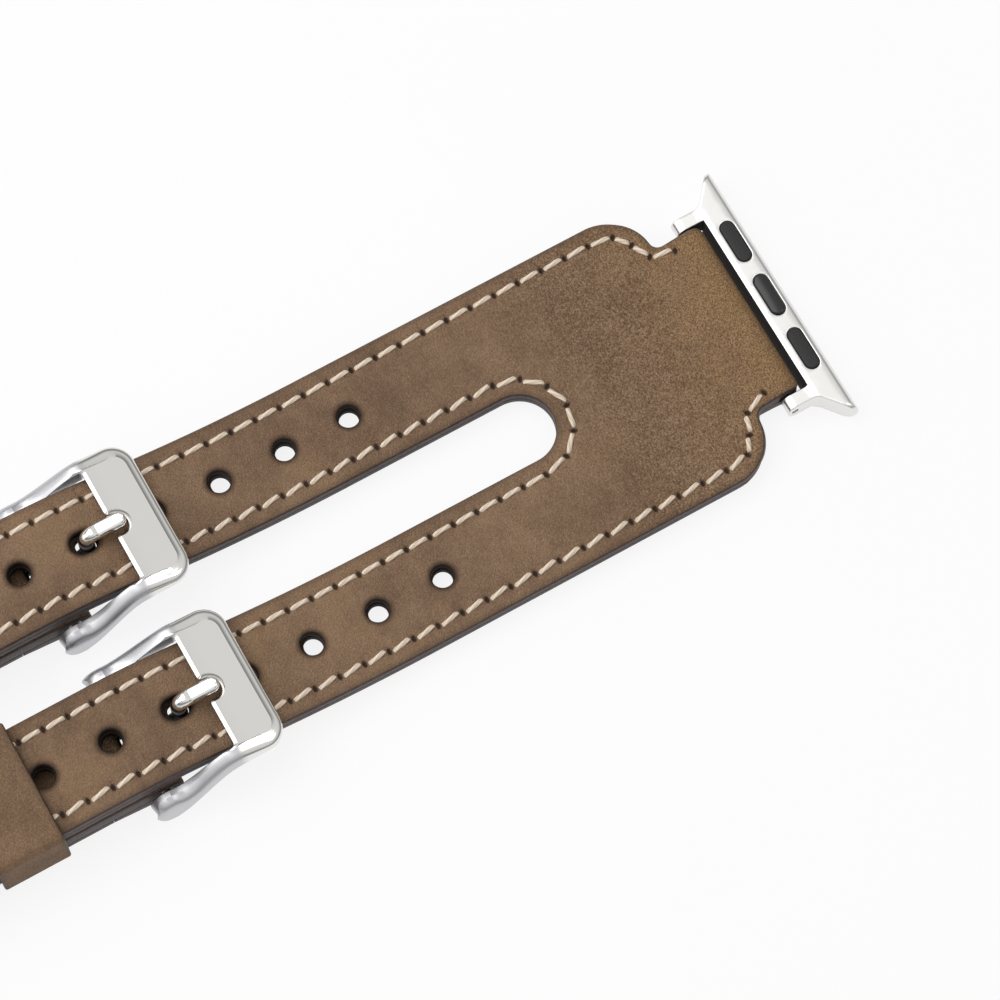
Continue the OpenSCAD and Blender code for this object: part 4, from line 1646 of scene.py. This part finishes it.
@dataclass
class Keeper:
    """Leather loop round a strap and the tail on it, x along the strap from the buckle bar."""

    x: float
    length: float
    half_w: float
    low: float
    high: float
    thick: float = 0.85
    corner: float = 0.68
    edge_r: float = 0.3
    stations: int = 220
    far: float = 3.0
    tan: float = 0.03

    def _loop(self) -> Rows:
        """Lays the leather's middle line round both straps.

        Returns:
            Rows of y and z.
        """
        y, r = self.half_w + self.thick / 2, self.corner
        z0, z1 = self.low - self.thick / 2, self.high + self.thick / 2
        return spaced(np.vstack([
            arc(y - r, z0 + r, r, -90, 0, 0.1), arc(y - r, z1 - r, r, 0, 90, 0.1),
            arc(r - y, z1 - r, r, 90, 180, 0.1), arc(r - y, z0 + r, r, 180, 270, 0.1)]),
            self.stations)

    def _section(self) -> Rows:
        """Lays the leather's flat section with its rounded edges.

        Returns:
            Rows along the strap and out of the loop.
        """
        half, t, e = self.length / 2, self.thick / 2, self.edge_r
        return undoubled(np.vstack([
            line(half - e, t, e - half, t, 0.4), arc(e - half, t - e, e, 90, 180, 0.1),
            arc(e - half, e - t, e, 180, 270, 0.1), line(e - half, -t, half - e, -t, 1.0),
            arc(half - e, e - t, e, -90, 0, 0.1), arc(half - e, t - e, e, 0, 90, 0.1)]))

    def build(self, side: Side) -> Mesh:
        """Carries the section round the loop.

        Args:
            side: the strap it is on.

        Returns:
            The mesh in the part's frame, with wall, edge and tan.
        """
        loop = self._loop()
        out = -left_of(loop)
        along, rise = self._section().T
        points = np.stack([
            np.broadcast_to(self.x + along, (len(loop), len(along))),
            loop[:, :1] + out[:, :1] * rise, loop[:, 1:] + out[:, 1:] * rise], -1)
        inset = self.length / 2 - np.abs(along)
        values = {"wall": ease((self.edge_r * 0.75 - inset) / (self.edge_r * 0.5)),
                  "edge": np.minimum(inset, self.far), "tan": np.full(len(along), self.tan)}
        values = {key: np.tile(v, len(loop)) for key, v in values.items()}
        placed = at_buckle(side, points.reshape(-1, 3) - (0, 0, BAR_R))
        return Mesh(placed, grid_faces(len(loop), len(along), close=True), values)


# Metal


@dataclass
class BuckleFrame:
    """Polished buckle: a broad sloping front bar on two arms that end in round ears.

    Rails run from one ear round the bar to the other. Each rail is an offset of the inner or
    the outer plan outline, at a depth under the top or a height over the bottom. x is measured
    from the strap's buckle bar, and the bar of the frame starts at bar_x.
    """

    window: float = 7.55
    side_y: float = 9.35
    ear_y: float = 9.75
    ear_x: float = -0.4
    ear_r: float = 2.15
    bar_x: float = 8.9
    front: float = 15.1
    corner_r: float = 2.8
    turn_r: float = 0.5
    notch_w: float = 1.35
    notch_x: float = 10.95
    notch_y: float = 2.6
    arm_z: float = 4.2
    arm_fall: float = 0.55
    arm_h: float = 2.6
    arm_more: float = 0.3
    ear_more: float = 1.7
    ear_reach: float = 4.0
    bar_h: float = 2.9
    bar_less: float = 1.6
    ridge_w: float = 1.45
    bevel: float = 0.42
    bevel_h: float = 0.3
    top_in: float = 5.65
    top_out: float = 4.3
    low_in: float = 4.35
    low_out: float = 3.0
    arch: float = 0.62
    under_in: float = 0.45
    # where the arms' duller polish and painted shade end
    soft_x: float = 8.6

    def _middle(self, x: np.ndarray) -> np.ndarray:
        """Finds the height of the arm's middle line.

        It rises with an ease from 0 at the ear to bar_x, and falls evenly past it.

        Args:
            x: places along the arm.

        Returns:
            The height at each.
        """
        far = (x - self.bar_x) / (self.front - self.bar_x)
        return np.where(x < self.bar_x, self.arm_z * ease(x / self.bar_x),
                        self.arm_z - self.arm_fall * far)

    def _half_high(self, x: np.ndarray) -> np.ndarray:
        """Finds half the arm's height.

        It is a circle at the ear, falls with the square of the way to ear_reach, and thins
        evenly past bar_x.

        Args:
            x: places along the arm.

        Returns:
            Half the height at each.
        """
        far = np.clip((x - self.bar_x) / (self.front - self.bar_x), 0, 1)
        near = (self.arm_h + self.arm_more * x / self.bar_x
                + self.ear_more * np.clip(1 - x / self.ear_reach, 0, 1) ** 2)
        ear = 2 * np.sqrt(np.maximum(self.ear_r**2 - (x - self.ear_x) ** 2, 1e-4))
        return np.select([x < self.ear_x, x < 0, x < self.bar_x],
                         [ear, np.full(x.shape, 2 * self.ear_r), near],
                         self.bar_h - self.bar_less * far) / 2

    def _top(self, x: np.ndarray) -> np.ndarray:
        """Finds the height of the top: the arm's, and an even slope on the bar.

        Args:
            x: places along the strap.

        Returns:
            The height at each.
        """
        slope = (self.top_out - self.top_in) / (self.front - self.bar_x)
        return np.where(x < self.bar_x, self._middle(x) + self._half_high(x),
                        self.top_in + slope * (x - self.bar_x))

    def _low(self, x: np.ndarray, y: np.ndarray) -> np.ndarray:
        """Finds the height of the underside, raised under the bar for the tail.

        Args:
            x: places along the strap.
            y: places across it.

        Returns:
            The height at each.
        """
        arm = self._middle(x) - self._half_high(x)
        far = (x - self.bar_x) / (self.front - self.bar_x)
        bar = self.low_in + (self.low_out - self.low_in) * far
        inner = ease((self.window + 0.2 - np.abs(y)) / 0.6) * ease((x - self.bar_x + 0.3) / 0.3)
        return arm + (np.maximum(bar, arm) - arm) * inner

    def _arms(self) -> tuple[Rows, Rows]:
        """Lays both outlines of an arm, from the ear's end to the window's corner.

        Ear and arm are joined by an ease, and the ear's end is rounded by 1 - sqrt(1 - d^2).

        Returns:
            The inner and the outer one.
        """
        a = np.linspace(0, np.pi / 2, 16)
        x = np.concatenate([self.ear_x - (self.ear_r - 0.003) * np.cos(a),
                            np.linspace(0, self.bar_x - self.turn_r, 40)])
        round_in = 1 - np.sqrt(1 - np.clip((-1.0 - x) / 1.6, 0, 0.97) ** 2)
        flare = (self.ear_y - self.side_y) * ease(np.clip((7.9 - x) / 6.9, 0, 1))
        return (np.column_stack([x, self.window + 0.25 * round_in]),
                np.column_stack([x, self.side_y + flare - 0.5 * round_in]))

    def _outlines(self) -> tuple[Rows, Rows, np.ndarray]:
        """Lays matching outlines in plan, from one ear round the bar to the other.

        Returns:
            The inner one, the outer one, and how far each point is round the bar's corner.
        """
        r, n, bar_x, front = self.turn_r, self.notch_w, self.bar_x, self.front
        corner_x, corner_y = front - self.corner_r, self.side_y - self.corner_r
        arm_in, arm_out = self._arms()
        inner = [
            arm_in,
            resample(arc(bar_x - r, self.window - r, r, 90, 0, 0.05), 26),
            resample(line(bar_x, self.window - r, bar_x, self.notch_y), 14),
            resample(np.vstack([
                line(bar_x, self.notch_y, bar_x, n + r, 0.1),
                arc(bar_x + r, n + r, r, 180, 270, 0.05),
                line(bar_x + r, n, self.notch_x - n, n, 0.1),
                arc(self.notch_x - n, 0, n, 90, 0, 0.1)]), 44)]
        outer = [
            arm_out,
            resample(np.vstack([line(bar_x - r, self.side_y, corner_x, self.side_y),
                                arc(corner_x, corner_y, self.corner_r, 90, 0)]), 26),
            resample(line(front, corner_y, front, self.notch_y), 14),
            resample(line(front, self.notch_y, front, 0), 44)]

        def whole(pieces: list) -> Rows:
            """Joins pieces that start where the one before ends, and mirrors them in y."""
            half = np.vstack([*(piece[:-1] for piece in pieces[:-1]), pieces[-1]])
            return np.vstack([half, half[-2::-1] * (1, -1)])

        near, away, corner = whole(inner), whole(outer), len(arm_in)
        share = np.interp(np.arange(len(near) // 2 + 1), [corner + 9, corner + 25], [0, 1])
        return near, away, np.concatenate([share, share[-2::-1]])

    def _rails(self) -> list[tuple[Rows, np.ndarray, bool]]:
        """Lays the rails in the order in which they go round the section.

        The top has a narrow bevel inside, a flat, and an arch down to the outer side. The
        underside has small roundings.

        Returns:
            Each rail's plan, its depth under the top or height over the bottom, and whether it
            is such a height.
        """
        inner, outer, share = self._outlines()
        into_in = unit(quarter_left(np.gradient(inner, axis=0)))
        into_out = -unit(quarter_left(np.gradient(outer, axis=0)))
        high = self._half_high(outer[:, 0])
        ear = np.where(outer[:, 0] < 0, np.clip(high / 1.2, 0.02, 1), 1)
        wide = self.ridge_w + 0.3 * ease((outer[:, 0] - 7.4) / 1.5) - 0.7 * share
        wide = (wide * np.clip(ear, 0.2, 1))[:, None]
        deep = high * 0.8
        full = 0.2 + 0.8 * ease((inner[:, 0] - 7.2) / 1.5)
        flat = np.zeros(len(inner))
        ridge_in = inner + into_in * (self.bevel * full * np.clip(ear, 0.3, 1))[:, None]
        ridge_out = outer + into_out * wide
        rails = [(inner, self.bevel_h * full * ear, False)]
        for t in (0.0, 0.04, 0.35, 0.65, 0.96, 1.0):
            rails.append((ridge_in + (ridge_out - ridge_in) * t, flat, False))
        first = np.radians(12)
        for a in np.radians(np.linspace(12, 90, 11)):
            inset = wide * self.arch * (1 - np.sin(a)) / (1 - np.sin(first))
            fall = (np.cos(first) - np.cos(a)) / np.cos(first)
            rails.append((outer + into_out * inset, (0.16 + (deep - 0.16) * fall) * ear, False))
        under = np.minimum(0.5, high * 0.5)
        for a in np.radians((90, 60, 30, 0)):
            inset = self.under_in * (1 - np.sin(a))
            rails.append((outer + into_out * inset, under * (1 - np.cos(a)), True))
        for t in (0.25, 0.5):
            rails.append((outer + into_out * self.under_in + (inner - outer) * t, flat, True))
        for a in np.radians((0, 45, 90)):
            inset = 0.25 * (1 - np.sin(a))
            rails.append((inner + into_in * inset, under * 0.5 * (1 - np.cos(a)), True))
        return rails

    def build(self, side: Side) -> Mesh:
        """Makes the frame as rails joined into a closed skin.

        Args:
            side: the strap it is on.

        Returns:
            The mesh in the part's frame, with a number that is 1 on the arms, where the polish is
            duller and the grey is painted shade.
        """
        blocks = []
        for plan, depth, low in self._rails():
            x, y = plan.T
            z = self._low(x, y) + depth if low else self._top(x) - depth
            blocks.append(np.column_stack([x, y, z]))
        rows = np.stack(blocks, 1)
        # 1 on the arms: duller polish, and painted shade in the colour
        soft = 1 - ease((rows[:, :, 0].ravel() - self.soft_x) / 1.2)
        return Mesh(at_buckle(side, rows.reshape(-1, 3)), capped_faces(*rows.shape[:2]),
                    {"soft": soft})


@dataclass
class Tongue:
    """Buckle tongue: an eye on the bar and a rod cranked up through the strap's hole."""

    radius: float = 0.95
    crank_x: float = 5.5
    crank_r: float = 1.8
    crown_r: float = 1.4
    rod_z: float = 5.95
    tip_x: float = 10.8
    stations: int = 90
    sides: int = 28
    ground: float = 0.3
    eye_r: float = 1.6
    eye_in: float = 0.95
    eye_w: float = 2.6
    eye_edge: float = 0.18
    eye_sides: int = 48
    # painted shade on rod and eye: full below dark_z, gone dark_fade above it
    dark_z: float = 3.9
    dark_fade: float = 1.5

    def _rod(self) -> Mesh:
        """Makes the rod with a round tip, ground flat on its top past the crank.

        Returns:
            The rod, from the middle of the bar.
        """
        x, r = self.crank_x, self.radius
        route = resample(np.vstack([
            line(1.0, 0, x - self.crank_r, 0),
            arc(x - self.crank_r, self.crank_r, self.crank_r, -90, 0, 0.15),
            line(x, self.crank_r, x, self.rod_z - self.crown_r),
            arc(x + self.crown_r, self.rod_z - self.crown_r, self.crown_r, 180, 90, 0.1),
            line(x + self.crown_r, self.rod_z, self.tip_x - r, self.rod_z, 0.2)]), self.stations)
        a = np.linspace(0, np.pi / 2, 9)[1:]
        tip = np.column_stack([self.tip_x - r + r * np.sin(a), np.full(len(a), self.rod_z)])
        path = np.vstack([route, tip])
        scale = np.concatenate([np.ones(self.stations), np.maximum(np.cos(a), 0.02)]) * r
        wide = scale[:, None] * np.cos(around(self.sides))
        high = scale[:, None] * np.sin(around(self.sides))
        flat = 1 - self.ground + self.ground * (1 - ease((path[:, :1] - x - 0.8) / 0.8))
        points = np.column_stack([path[:, 0], np.zeros(len(path)), path[:, 1]])
        return sweep(points, np.array([0, 1.0, 0]), wide, np.minimum(high, flat * r))

    def _eye(self) -> Mesh:
        """Makes the eye: a flat band round the bar with bevelled edges.

        Returns:
            The eye, from the middle of the bar.
        """
        n, w, e = self.eye_sides, self.eye_w / 2, self.eye_edge
        ring = np.array([(self.eye_in, -w + e), (self.eye_in + e, -w), (self.eye_r - e, -w),
                         (self.eye_r, -w + e), (self.eye_r, w - e), (self.eye_r - e, w),
                         (self.eye_in + e, w), (self.eye_in, w - e)])
        turn = around(n)[:, None]
        points = np.stack([np.cos(turn) * ring[:, 0],
                           np.broadcast_to(ring[:, 1], (n, len(ring))),
                           np.sin(turn) * ring[:, 0]], -1)
        return Mesh(points.reshape(-1, 3), grid_faces(n, len(ring), close=True))

    def build(self, side: Side) -> Mesh:
        """Makes the rod and the eye.

        Args:
            side: the strap it is on.

        Returns:
            The mesh in the part's frame, with shade (1 down in the hole), which is painted shade.
        """
        whole = join([self._rod(), self._eye()])
        # painted shade down in the strap's hole
        shade = 1 - ease((whole.points[:, 2] - self.dark_z) / self.dark_fade)
        return Mesh(at_buckle(side, whole.points), whole.faces, {"shade": shade})


def drop(distance: np.ndarray, radius: float) -> np.ndarray:
    """Finds how far a rounding has fallen, r - sqrt(r^2 - (r - d)^2) at a distance d.

    Args:
        distance: distances from its edge.
        radius: its radius.

    Returns:
        The fall at each, and 0 past the radius.
    """
    t = np.clip(radius - distance, 0, radius)
    return radius - np.sqrt(radius**2 - t**2)


@dataclass
class Adapter:
    """Satin lug adapter: a round-nosed rail with two flared arms that hold the lug bar."""

    half: Half
    front: float = 6.55
    wall: float = 2.6
    half_l: float = 17.5
    tall: float = 3.6
    round_r: float = 1.2
    nose: float = 0.7
    flare_x: float = -2.232
    flare_r: float = 1.5
    flare_angle: float = 218.86
    arm_in: float = 12.15
    arm_out: float = 13.9
    arm_x: float = 0.85
    arm_h: float = 2.8
    foot: float = 0.25
    pin_r: float = 0.45
    pin_sides: int = 32
    sharp: float = 50.0
    pad: tuple = (5.7, 1.85)
    pad_pitch: float = 7.9
    pad_gap: float = 0.08

    @property
    def pad_x(self) -> float:
        """Middle of the row of pads."""
        return -(self.front + self.wall) / 2

    def _top(self, x: np.ndarray, y: np.ndarray) -> np.ndarray:
        """Finds the height of the top: flat, and a quarter circle down at nose and ends.

        Args:
            x: places along the leather.
            y: places across it.

        Returns:
            The height at each.
        """
        arm = self.tall - LUG_R - self.arm_h / 2
        fall = np.maximum(drop(x + self.front, self.round_r),
                          drop(self.half_l - np.abs(y), self.round_r))
        fall = np.maximum(fall, arm * ease((x + self.wall + 0.6) / 1.2))
        return self.tall - fall - drop(self.arm_x - x, 1.0)

    def _outline(self) -> Rows:
        """Lays the outline of the rail and both arms.

        Returns:
            The outline in plan.
        """
        turn = arc(self.flare_x, self.arm_out + self.flare_r, self.flare_r,
                   self.flare_angle, 270, 0.15)
        half = np.vstack([
            line(-self.front, 0, -self.front, self.half_l, 0.3),
            line(-self.front, self.half_l, self.nose - self.front, self.half_l, 0.2),
            line(self.nose - self.front, self.half_l, turn[0, 0], turn[0, 1], 0.3), turn,
            line(self.flare_x, self.arm_out, self.arm_x, self.arm_out, 0.2),
            line(self.arm_x, self.arm_out, self.arm_x, self.arm_in, 0.3),
            line(self.arm_x, self.arm_in, -self.wall, self.arm_in, 0.3),
            line(-self.wall, self.arm_in, -self.wall, 0, 0.4)])
        return np.vstack([half, half[::-1] * (1, -1)])

    def _place(self, plan: Rows, low: np.ndarray, depth: np.ndarray) -> Rows:
        """Places the plan between its rounded top and an underside that mirrors it.

        The foot of the wall that faces the leather stands 0.25 further in than its head.

        Args:
            plan: rows of x and y.
            low: whether each is measured up from the bottom.
            depth: depth under the top, or height over the bottom.

        Returns:
            Rows of x, y and z.
        """
        x, y = plan.T
        top = self._top(x, y)
        lift = (2 * LUG_R - self.tall) * ease((x + self.wall + 0.4) / 0.8)
        bottom = self.tall + lift - top
        foot = low & (x > -self.wall - 0.2) & (np.abs(y) < self.arm_in - 0.1)
        return np.column_stack([x + self.foot * foot, y,
                                np.where(low, bottom + depth, top - depth)])

    def _body(self) -> Mesh:
        """Makes the rail with its arms and three wells, with more points close to its edges.

        Returns:
            The mesh in the part's frame, with shade (1 on the wall that faces the leather), which
            is painted shade.
        """
        length, width = self.pad
        pockets = [stadium(self.pad_x, y, length + self.pad_gap, width + self.pad_gap)
                   for y in (-self.pad_pitch, 0, self.pad_pitch)]
        edge = turned_to(self._outline(), 1)
        steps = np.array([0.32, 0.5, 0.72, 0.98])[:, None, None]
        extra = (edge[None] + left_of(edge)[None] * steps).reshape(-1, 2)
        extra = distinct(extra[inside(extra, edge)], 0.12)
        for pocket in pockets:
            extra = extra[(closest(extra, pocket)[1] > 0.3) & ~inside(extra, pocket)]
        plate = Plate(edge, pockets=pockets, extra=extra, spacing=0.4, under_spacing=0.4,
                      top_r=0.14, bottom_r=0.14, pocket_depth=1.9, rings=3)
        mesh = plate.build(self._place)
        x, y, z = mesh.points.T
        # painted shade on the wall that faces the leather, and on its foot
        inner = (x > -self.wall - 0.2) & (np.abs(y) < self.arm_in + 0.1) & (z < self.tall - 0.1)
        return Mesh(self.half.to_world(mesh.points), mesh.faces,
                    {"shade": inner.astype(float)})

    def _drill(self, body: bpy.types.Object) -> None:
        """Cuts the lug bar's pin hole through both arms.

        Args:
            body: the adapter, whose mesh is replaced.
        """
        n, reach = self.pin_sides, np.array([-15.0, 15.0])[:, None]
        a = around(n)
        points = np.stack([np.broadcast_to(self.pin_r * np.cos(a), (2, n)),
                           np.broadcast_to(reach, (2, n)),
                           np.broadcast_to(LUG_R + self.pin_r * np.sin(a), (2, n))], -1)
        mesh = Mesh(self.half.to_world(points.reshape(-1, 3)), capped_faces(2, n))
        tool = mesh.write("pin_drill", body.data.materials[0], 180)
        cut = body.modifiers.new("pin_hole", "BOOLEAN")
        cut.object, cut.operation, cut.solver = tool, "DIFFERENCE", "EXACT"
        bpy.context.view_layer.update()
        drilled = bpy.data.meshes.new_from_object(
            body.evaluated_get(bpy.context.evaluated_depsgraph_get()))
        body.modifiers.clear()
        drilled.set_sharp_from_angle(angle=np.radians(self.sharp))
        body.data = drilled
        bpy.data.objects.remove(tool)

    def _pad(self, y: int, low_z: float, proud: float) -> Mesh:
        """Makes one pad, or the button between them, as a domed stadium plate.

        The top falls by 0.7 proud (0.7 x^2 + 0.3 y^2), with x and y 1 at the pad's sides.

        Args:
            y: place in the row, -1, 0 or 1.
            low_z: height of its foot.
            proud: how far it stands over the adapter.

        Returns:
            The mesh in the part's frame.
        """

        def place(plan: Rows, low: np.ndarray, depth: np.ndarray) -> Rows:
            """Domes the top a little across and along the pad.

            Args:
                plan: rows of x and y.
                low: whether each is measured up from the bottom.
                depth: depth under the top, or height over the bottom.

            Returns:
                Rows of x, y and z.
            """
            bow = ((plan[:, 0] - self.pad_x) / 0.93) ** 2 * 0.7 + (plan[:, 1] / 2.85) ** 2 * 0.3
            top = self.tall + proud - depth - bow * proud * 0.7
            return np.column_stack([plan[:, 0], plan[:, 1] + y * self.pad_pitch,
                                    np.where(low, low_z + depth, top)])

        outline = stadium(self.pad_x, 0, *self.pad)
        mesh = Plate(outline, spacing=0.25, under_spacing=0.6, top_r=0.22).build(place)
        mesh.points = self.half.to_world(mesh.points)
        return mesh

    def build(self, finishes: Finishes) -> None:
        """Makes the adapter with its pin holes, the two pads and the latch button.

        Args:
            finishes: the materials.
        """
        tag = self.half.value
        body = finishes.dress(self._body(), f"{tag}_adapter", "satin_steel",
                              f"{tag}_lug_adapter", sharp=self.sharp)
        self._drill(body)
        ends = ("right", "left") if self.half is Half.TAIL else ("left", "right")
        for y, node in ((1, f"{tag}_lug_pad_{ends[0]}"), (0, f"{tag}_latch_button"),
                        (-1, f"{tag}_lug_pad_{ends[1]}")):
            low_z, proud, slot = (1.75, 0.15, "pad_rubber") if y else (2.6, 0.3, "button_plastic")
            finishes.dress(self._pad(y, low_z, proud), f"{node}_cap", slot, node)


# Scene


@dataclass(frozen=True)
class Studio:
    """Pale floor, diffuse lamps, a light room and the camera of the photograph.

    A lamp has a name, a place and a size in metres, and a power in watts. The bands are the
    room's tones by the height of a direction, from 0 level to 1 straight up. The camera looks
    down by tip and is turned by turn, in degrees, and stands off from aim by its own right, up
    and ahead directions, in millimetres.
    """

    lamps: tuple = (("key_panel", (-0.22, 0.30, 0.60), 0.7, 2.8),
                    ("side_panel", (-0.62, 0.21, 0.33), 0.52, 1.1),
                    ("edge_panel", (0.385, -0.11, 0.57), 0.15, 0.3))
    floor_low: tuple = srgb(244, 244, 244)
    floor_high: tuple = srgb(250, 250, 250)
    floor_glow: float = 0.86
    floor_reach: float = 3.0
    room_light: float = 0.48
    level: tuple = (0.80, 0.80, 0.79, 1)
    straight_up: tuple = (0.9, 0.9, 0.89, 1)
    bands: tuple = ((0.14, 0.6), (0.27, 0.2), (0.42, 0.28), (0.60, 0.7), (0.78, 0.78),
                    (0.86, 0.8), (0.94, 0.9))
    tip: float = 70.835
    turn: float = 29.473
    off: tuple = (-32.268, -23.921, -481.456)
    aim: tuple = (87.44, 0.35, 0.3)
    lens: float = 144.0

    def build(self) -> None:
        """Makes the floor, the room, the lamps and the camera."""
        self._floor()
        self._room()
        for lamp in self.lamps:
            self._lamp(*lamp)
        self._camera()
        log.info("studio and camera are set")

    def _floor(self) -> None:
        """Makes a wide floor that glows near-white where it is seen and keeps a faint shadow."""
        s = Shader("paper_floor")
        path = s.tree.nodes.new("ShaderNodeLightPath")
        seen = Val(s, path.outputs["Is Camera Ray"])
        for ray in ("Is Glossy Ray", "Is Transmission Ray"):
            seen = seen.larger(Val(s, path.outputs[ray]))
        tone = s.mix(s.noise(0.02, 3), self.floor_low, self.floor_high)
        paper = s.node("BsdfDiffuse", {"Color": tone})
        glow = s.node("Emission", {"Color": (1.0, 1.0, 1.0), "Strength": 1.0})
        made = s.node("MixShader", {0: seen * self.floor_glow, 1: paper, 2: glow})
        s.tree.links.new(made.socket, s.out.inputs[0])
        data = bpy.data.meshes.new("floor")
        r, z = self.floor_reach, -0.0001
        data.from_pydata([(-r, -r, z), (r, -r, z), (r, r, z), (-r, r, z)], [], [(0, 1, 2, 3)])
        data.materials.append(s.material)
        put("floor", data)

    def _room(self) -> None:
        """Makes the room: white to the camera, and banded by height where metal shows it."""
        world = bpy.data.worlds.new("studio_room")
        bpy.context.scene.world = world
        world.use_nodes = True
        tree = world.node_tree
        tree.nodes.clear()
        out = tree.nodes.new("ShaderNodeOutputWorld")
        path = tree.nodes.new("ShaderNodeLightPath")
        spot = tree.nodes.new("ShaderNodeTexCoord")
        split = tree.nodes.new("ShaderNodeSeparateXYZ")
        ramp = tree.nodes.new("ShaderNodeValToRGB")
        ends = ramp.color_ramp.elements
        ends[0].position, ends[0].color = 0.0, self.level
        ends[1].position, ends[1].color = 1.0, self.straight_up
        for at, tone in self.bands:
            ends.new(at).color = (tone, tone, tone * 0.985, 1)
        shown = [tree.nodes.new("ShaderNodeBackground") for _ in range(3)]
        for background, strength in zip(shown, (self.room_light, 1.0, 1.0)):
            background.inputs["Color"].default_value = (1, 1, 1, 1)
            background.inputs["Strength"].default_value = strength
        tree.links.new(spot.outputs["Generated"], split.inputs[0])
        tree.links.new(split.outputs["Z"], ramp.inputs[0])
        tree.links.new(ramp.outputs[0], shown[1].inputs["Color"])
        last = shown[0].outputs[0]
        for ray, background in (("Is Glossy Ray", shown[1]), ("Is Camera Ray", shown[2]),
                                ("Is Transmission Ray", shown[2])):
            blend = tree.nodes.new("ShaderNodeMixShader")
            tree.links.new(path.outputs[ray], blend.inputs[0])
            tree.links.new(last, blend.inputs[1])
            tree.links.new(background.outputs[0], blend.inputs[2])
            last = blend.outputs[0]
        tree.links.new(last, out.inputs[0])

    @staticmethod
    def _lamp(name: str, where: tuple, size: float, power: float) -> None:
        """Makes one square lamp that faces the object's middle.

        Args:
            name: the lamp's name.
            where: its place in metres.
            size: its side in metres.
            power: its power in watts.
        """
        data = bpy.data.lights.new(name, "AREA")
        data.size = size
        data.energy = power
        obj = put(name, data)
        obj.location = where
        obj.rotation_euler = Vector(where).to_track_quat("Z", "Y").to_euler()

    def _camera(self) -> None:
        """Makes the camera at the place that fits the photograph's outlines.

        Its directions are found as if it weren't turned, and then turned back about z.
        """
        tip, turn = np.radians((self.tip, self.turn))
        right = np.array([1.0, 0, 0])
        up = np.array([0, np.sin(tip), np.cos(tip)])
        ahead = np.array([0, np.cos(tip), -np.sin(tip)])
        spin = np.array([[np.cos(turn), -np.sin(turn), 0], [np.sin(turn), np.cos(turn), 0],
                         [0, 0, 1]])
        where = spin.T @ (self.off[0] * right + self.off[1] * up + self.off[2] * ahead)
        matrix = np.eye(4)
        matrix[:3, :3] = np.column_stack([spin.T @ right, spin.T @ up, -spin.T @ ahead])
        matrix[:3, 3] = (where + self.aim) * MM
        data = bpy.data.cameras.new("camera")
        data.lens, data.sensor_width = self.lens, 36.0
        data.clip_start, data.clip_end = 0.01, 20.0
        obj = put("camera", data)
        obj.matrix_world = Matrix(matrix.tolist())
        bpy.context.scene.camera = obj


def dress_hidden(finishes: Finishes) -> None:
    """Gives the small bars, tips and springs that stay as CAD made them their metal.

    Args:
        finishes: the materials.
    """
    for name, node in frame["nodes"].items():
        if node.hide_render:
            continue
        slot = "spring_steel" if "spring" in name else "polished_steel"
        for place in node.material_slots:
            place.material = finishes.made[slot]
        log.info("%s keeps its CAD mesh in %s", name, slot)


def main() -> None:
    """Builds the band piece by piece and sets the studio round it."""
    logging.basicConfig(level=logging.INFO, format="%(message)s")
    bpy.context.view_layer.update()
    bpy.context.scene.view_settings.view_transform = "Standard"
    finishes = Finishes.build()
    for half in Half:
        StrapHalf(half).build(finishes)
        Adapter(half).build(finishes)
    fixed = Keeper(x=-17.25, length=8.5, half_w=7.15, low=1.03, high=7.8)
    loose = Keeper(x=-30.75, length=6.5, half_w=7.4, low=0.85, high=8.05)
    for side in Side:
        tag = side.label
        for keeper, word in ((fixed, "fixed_keeper"), (loose, "loose_keeper")):
            finishes.dress(keeper.build(side), f"{tag}_{word}_loop", "leather_keeper",
                           f"{tag}_{word}")
        finishes.dress(BuckleFrame().build(side), f"{tag}_buckle", "polished_steel",
                       f"{tag}_buckle_frame", sharp=16)
        finishes.dress(Tongue().build(side), f"{tag}_buckle_tongue", "polished_steel",
                       f"{tag}_tongue", sharp=28)
    dress_hidden(finishes)
    Studio().build()


if __name__ == "__main__":
    main()
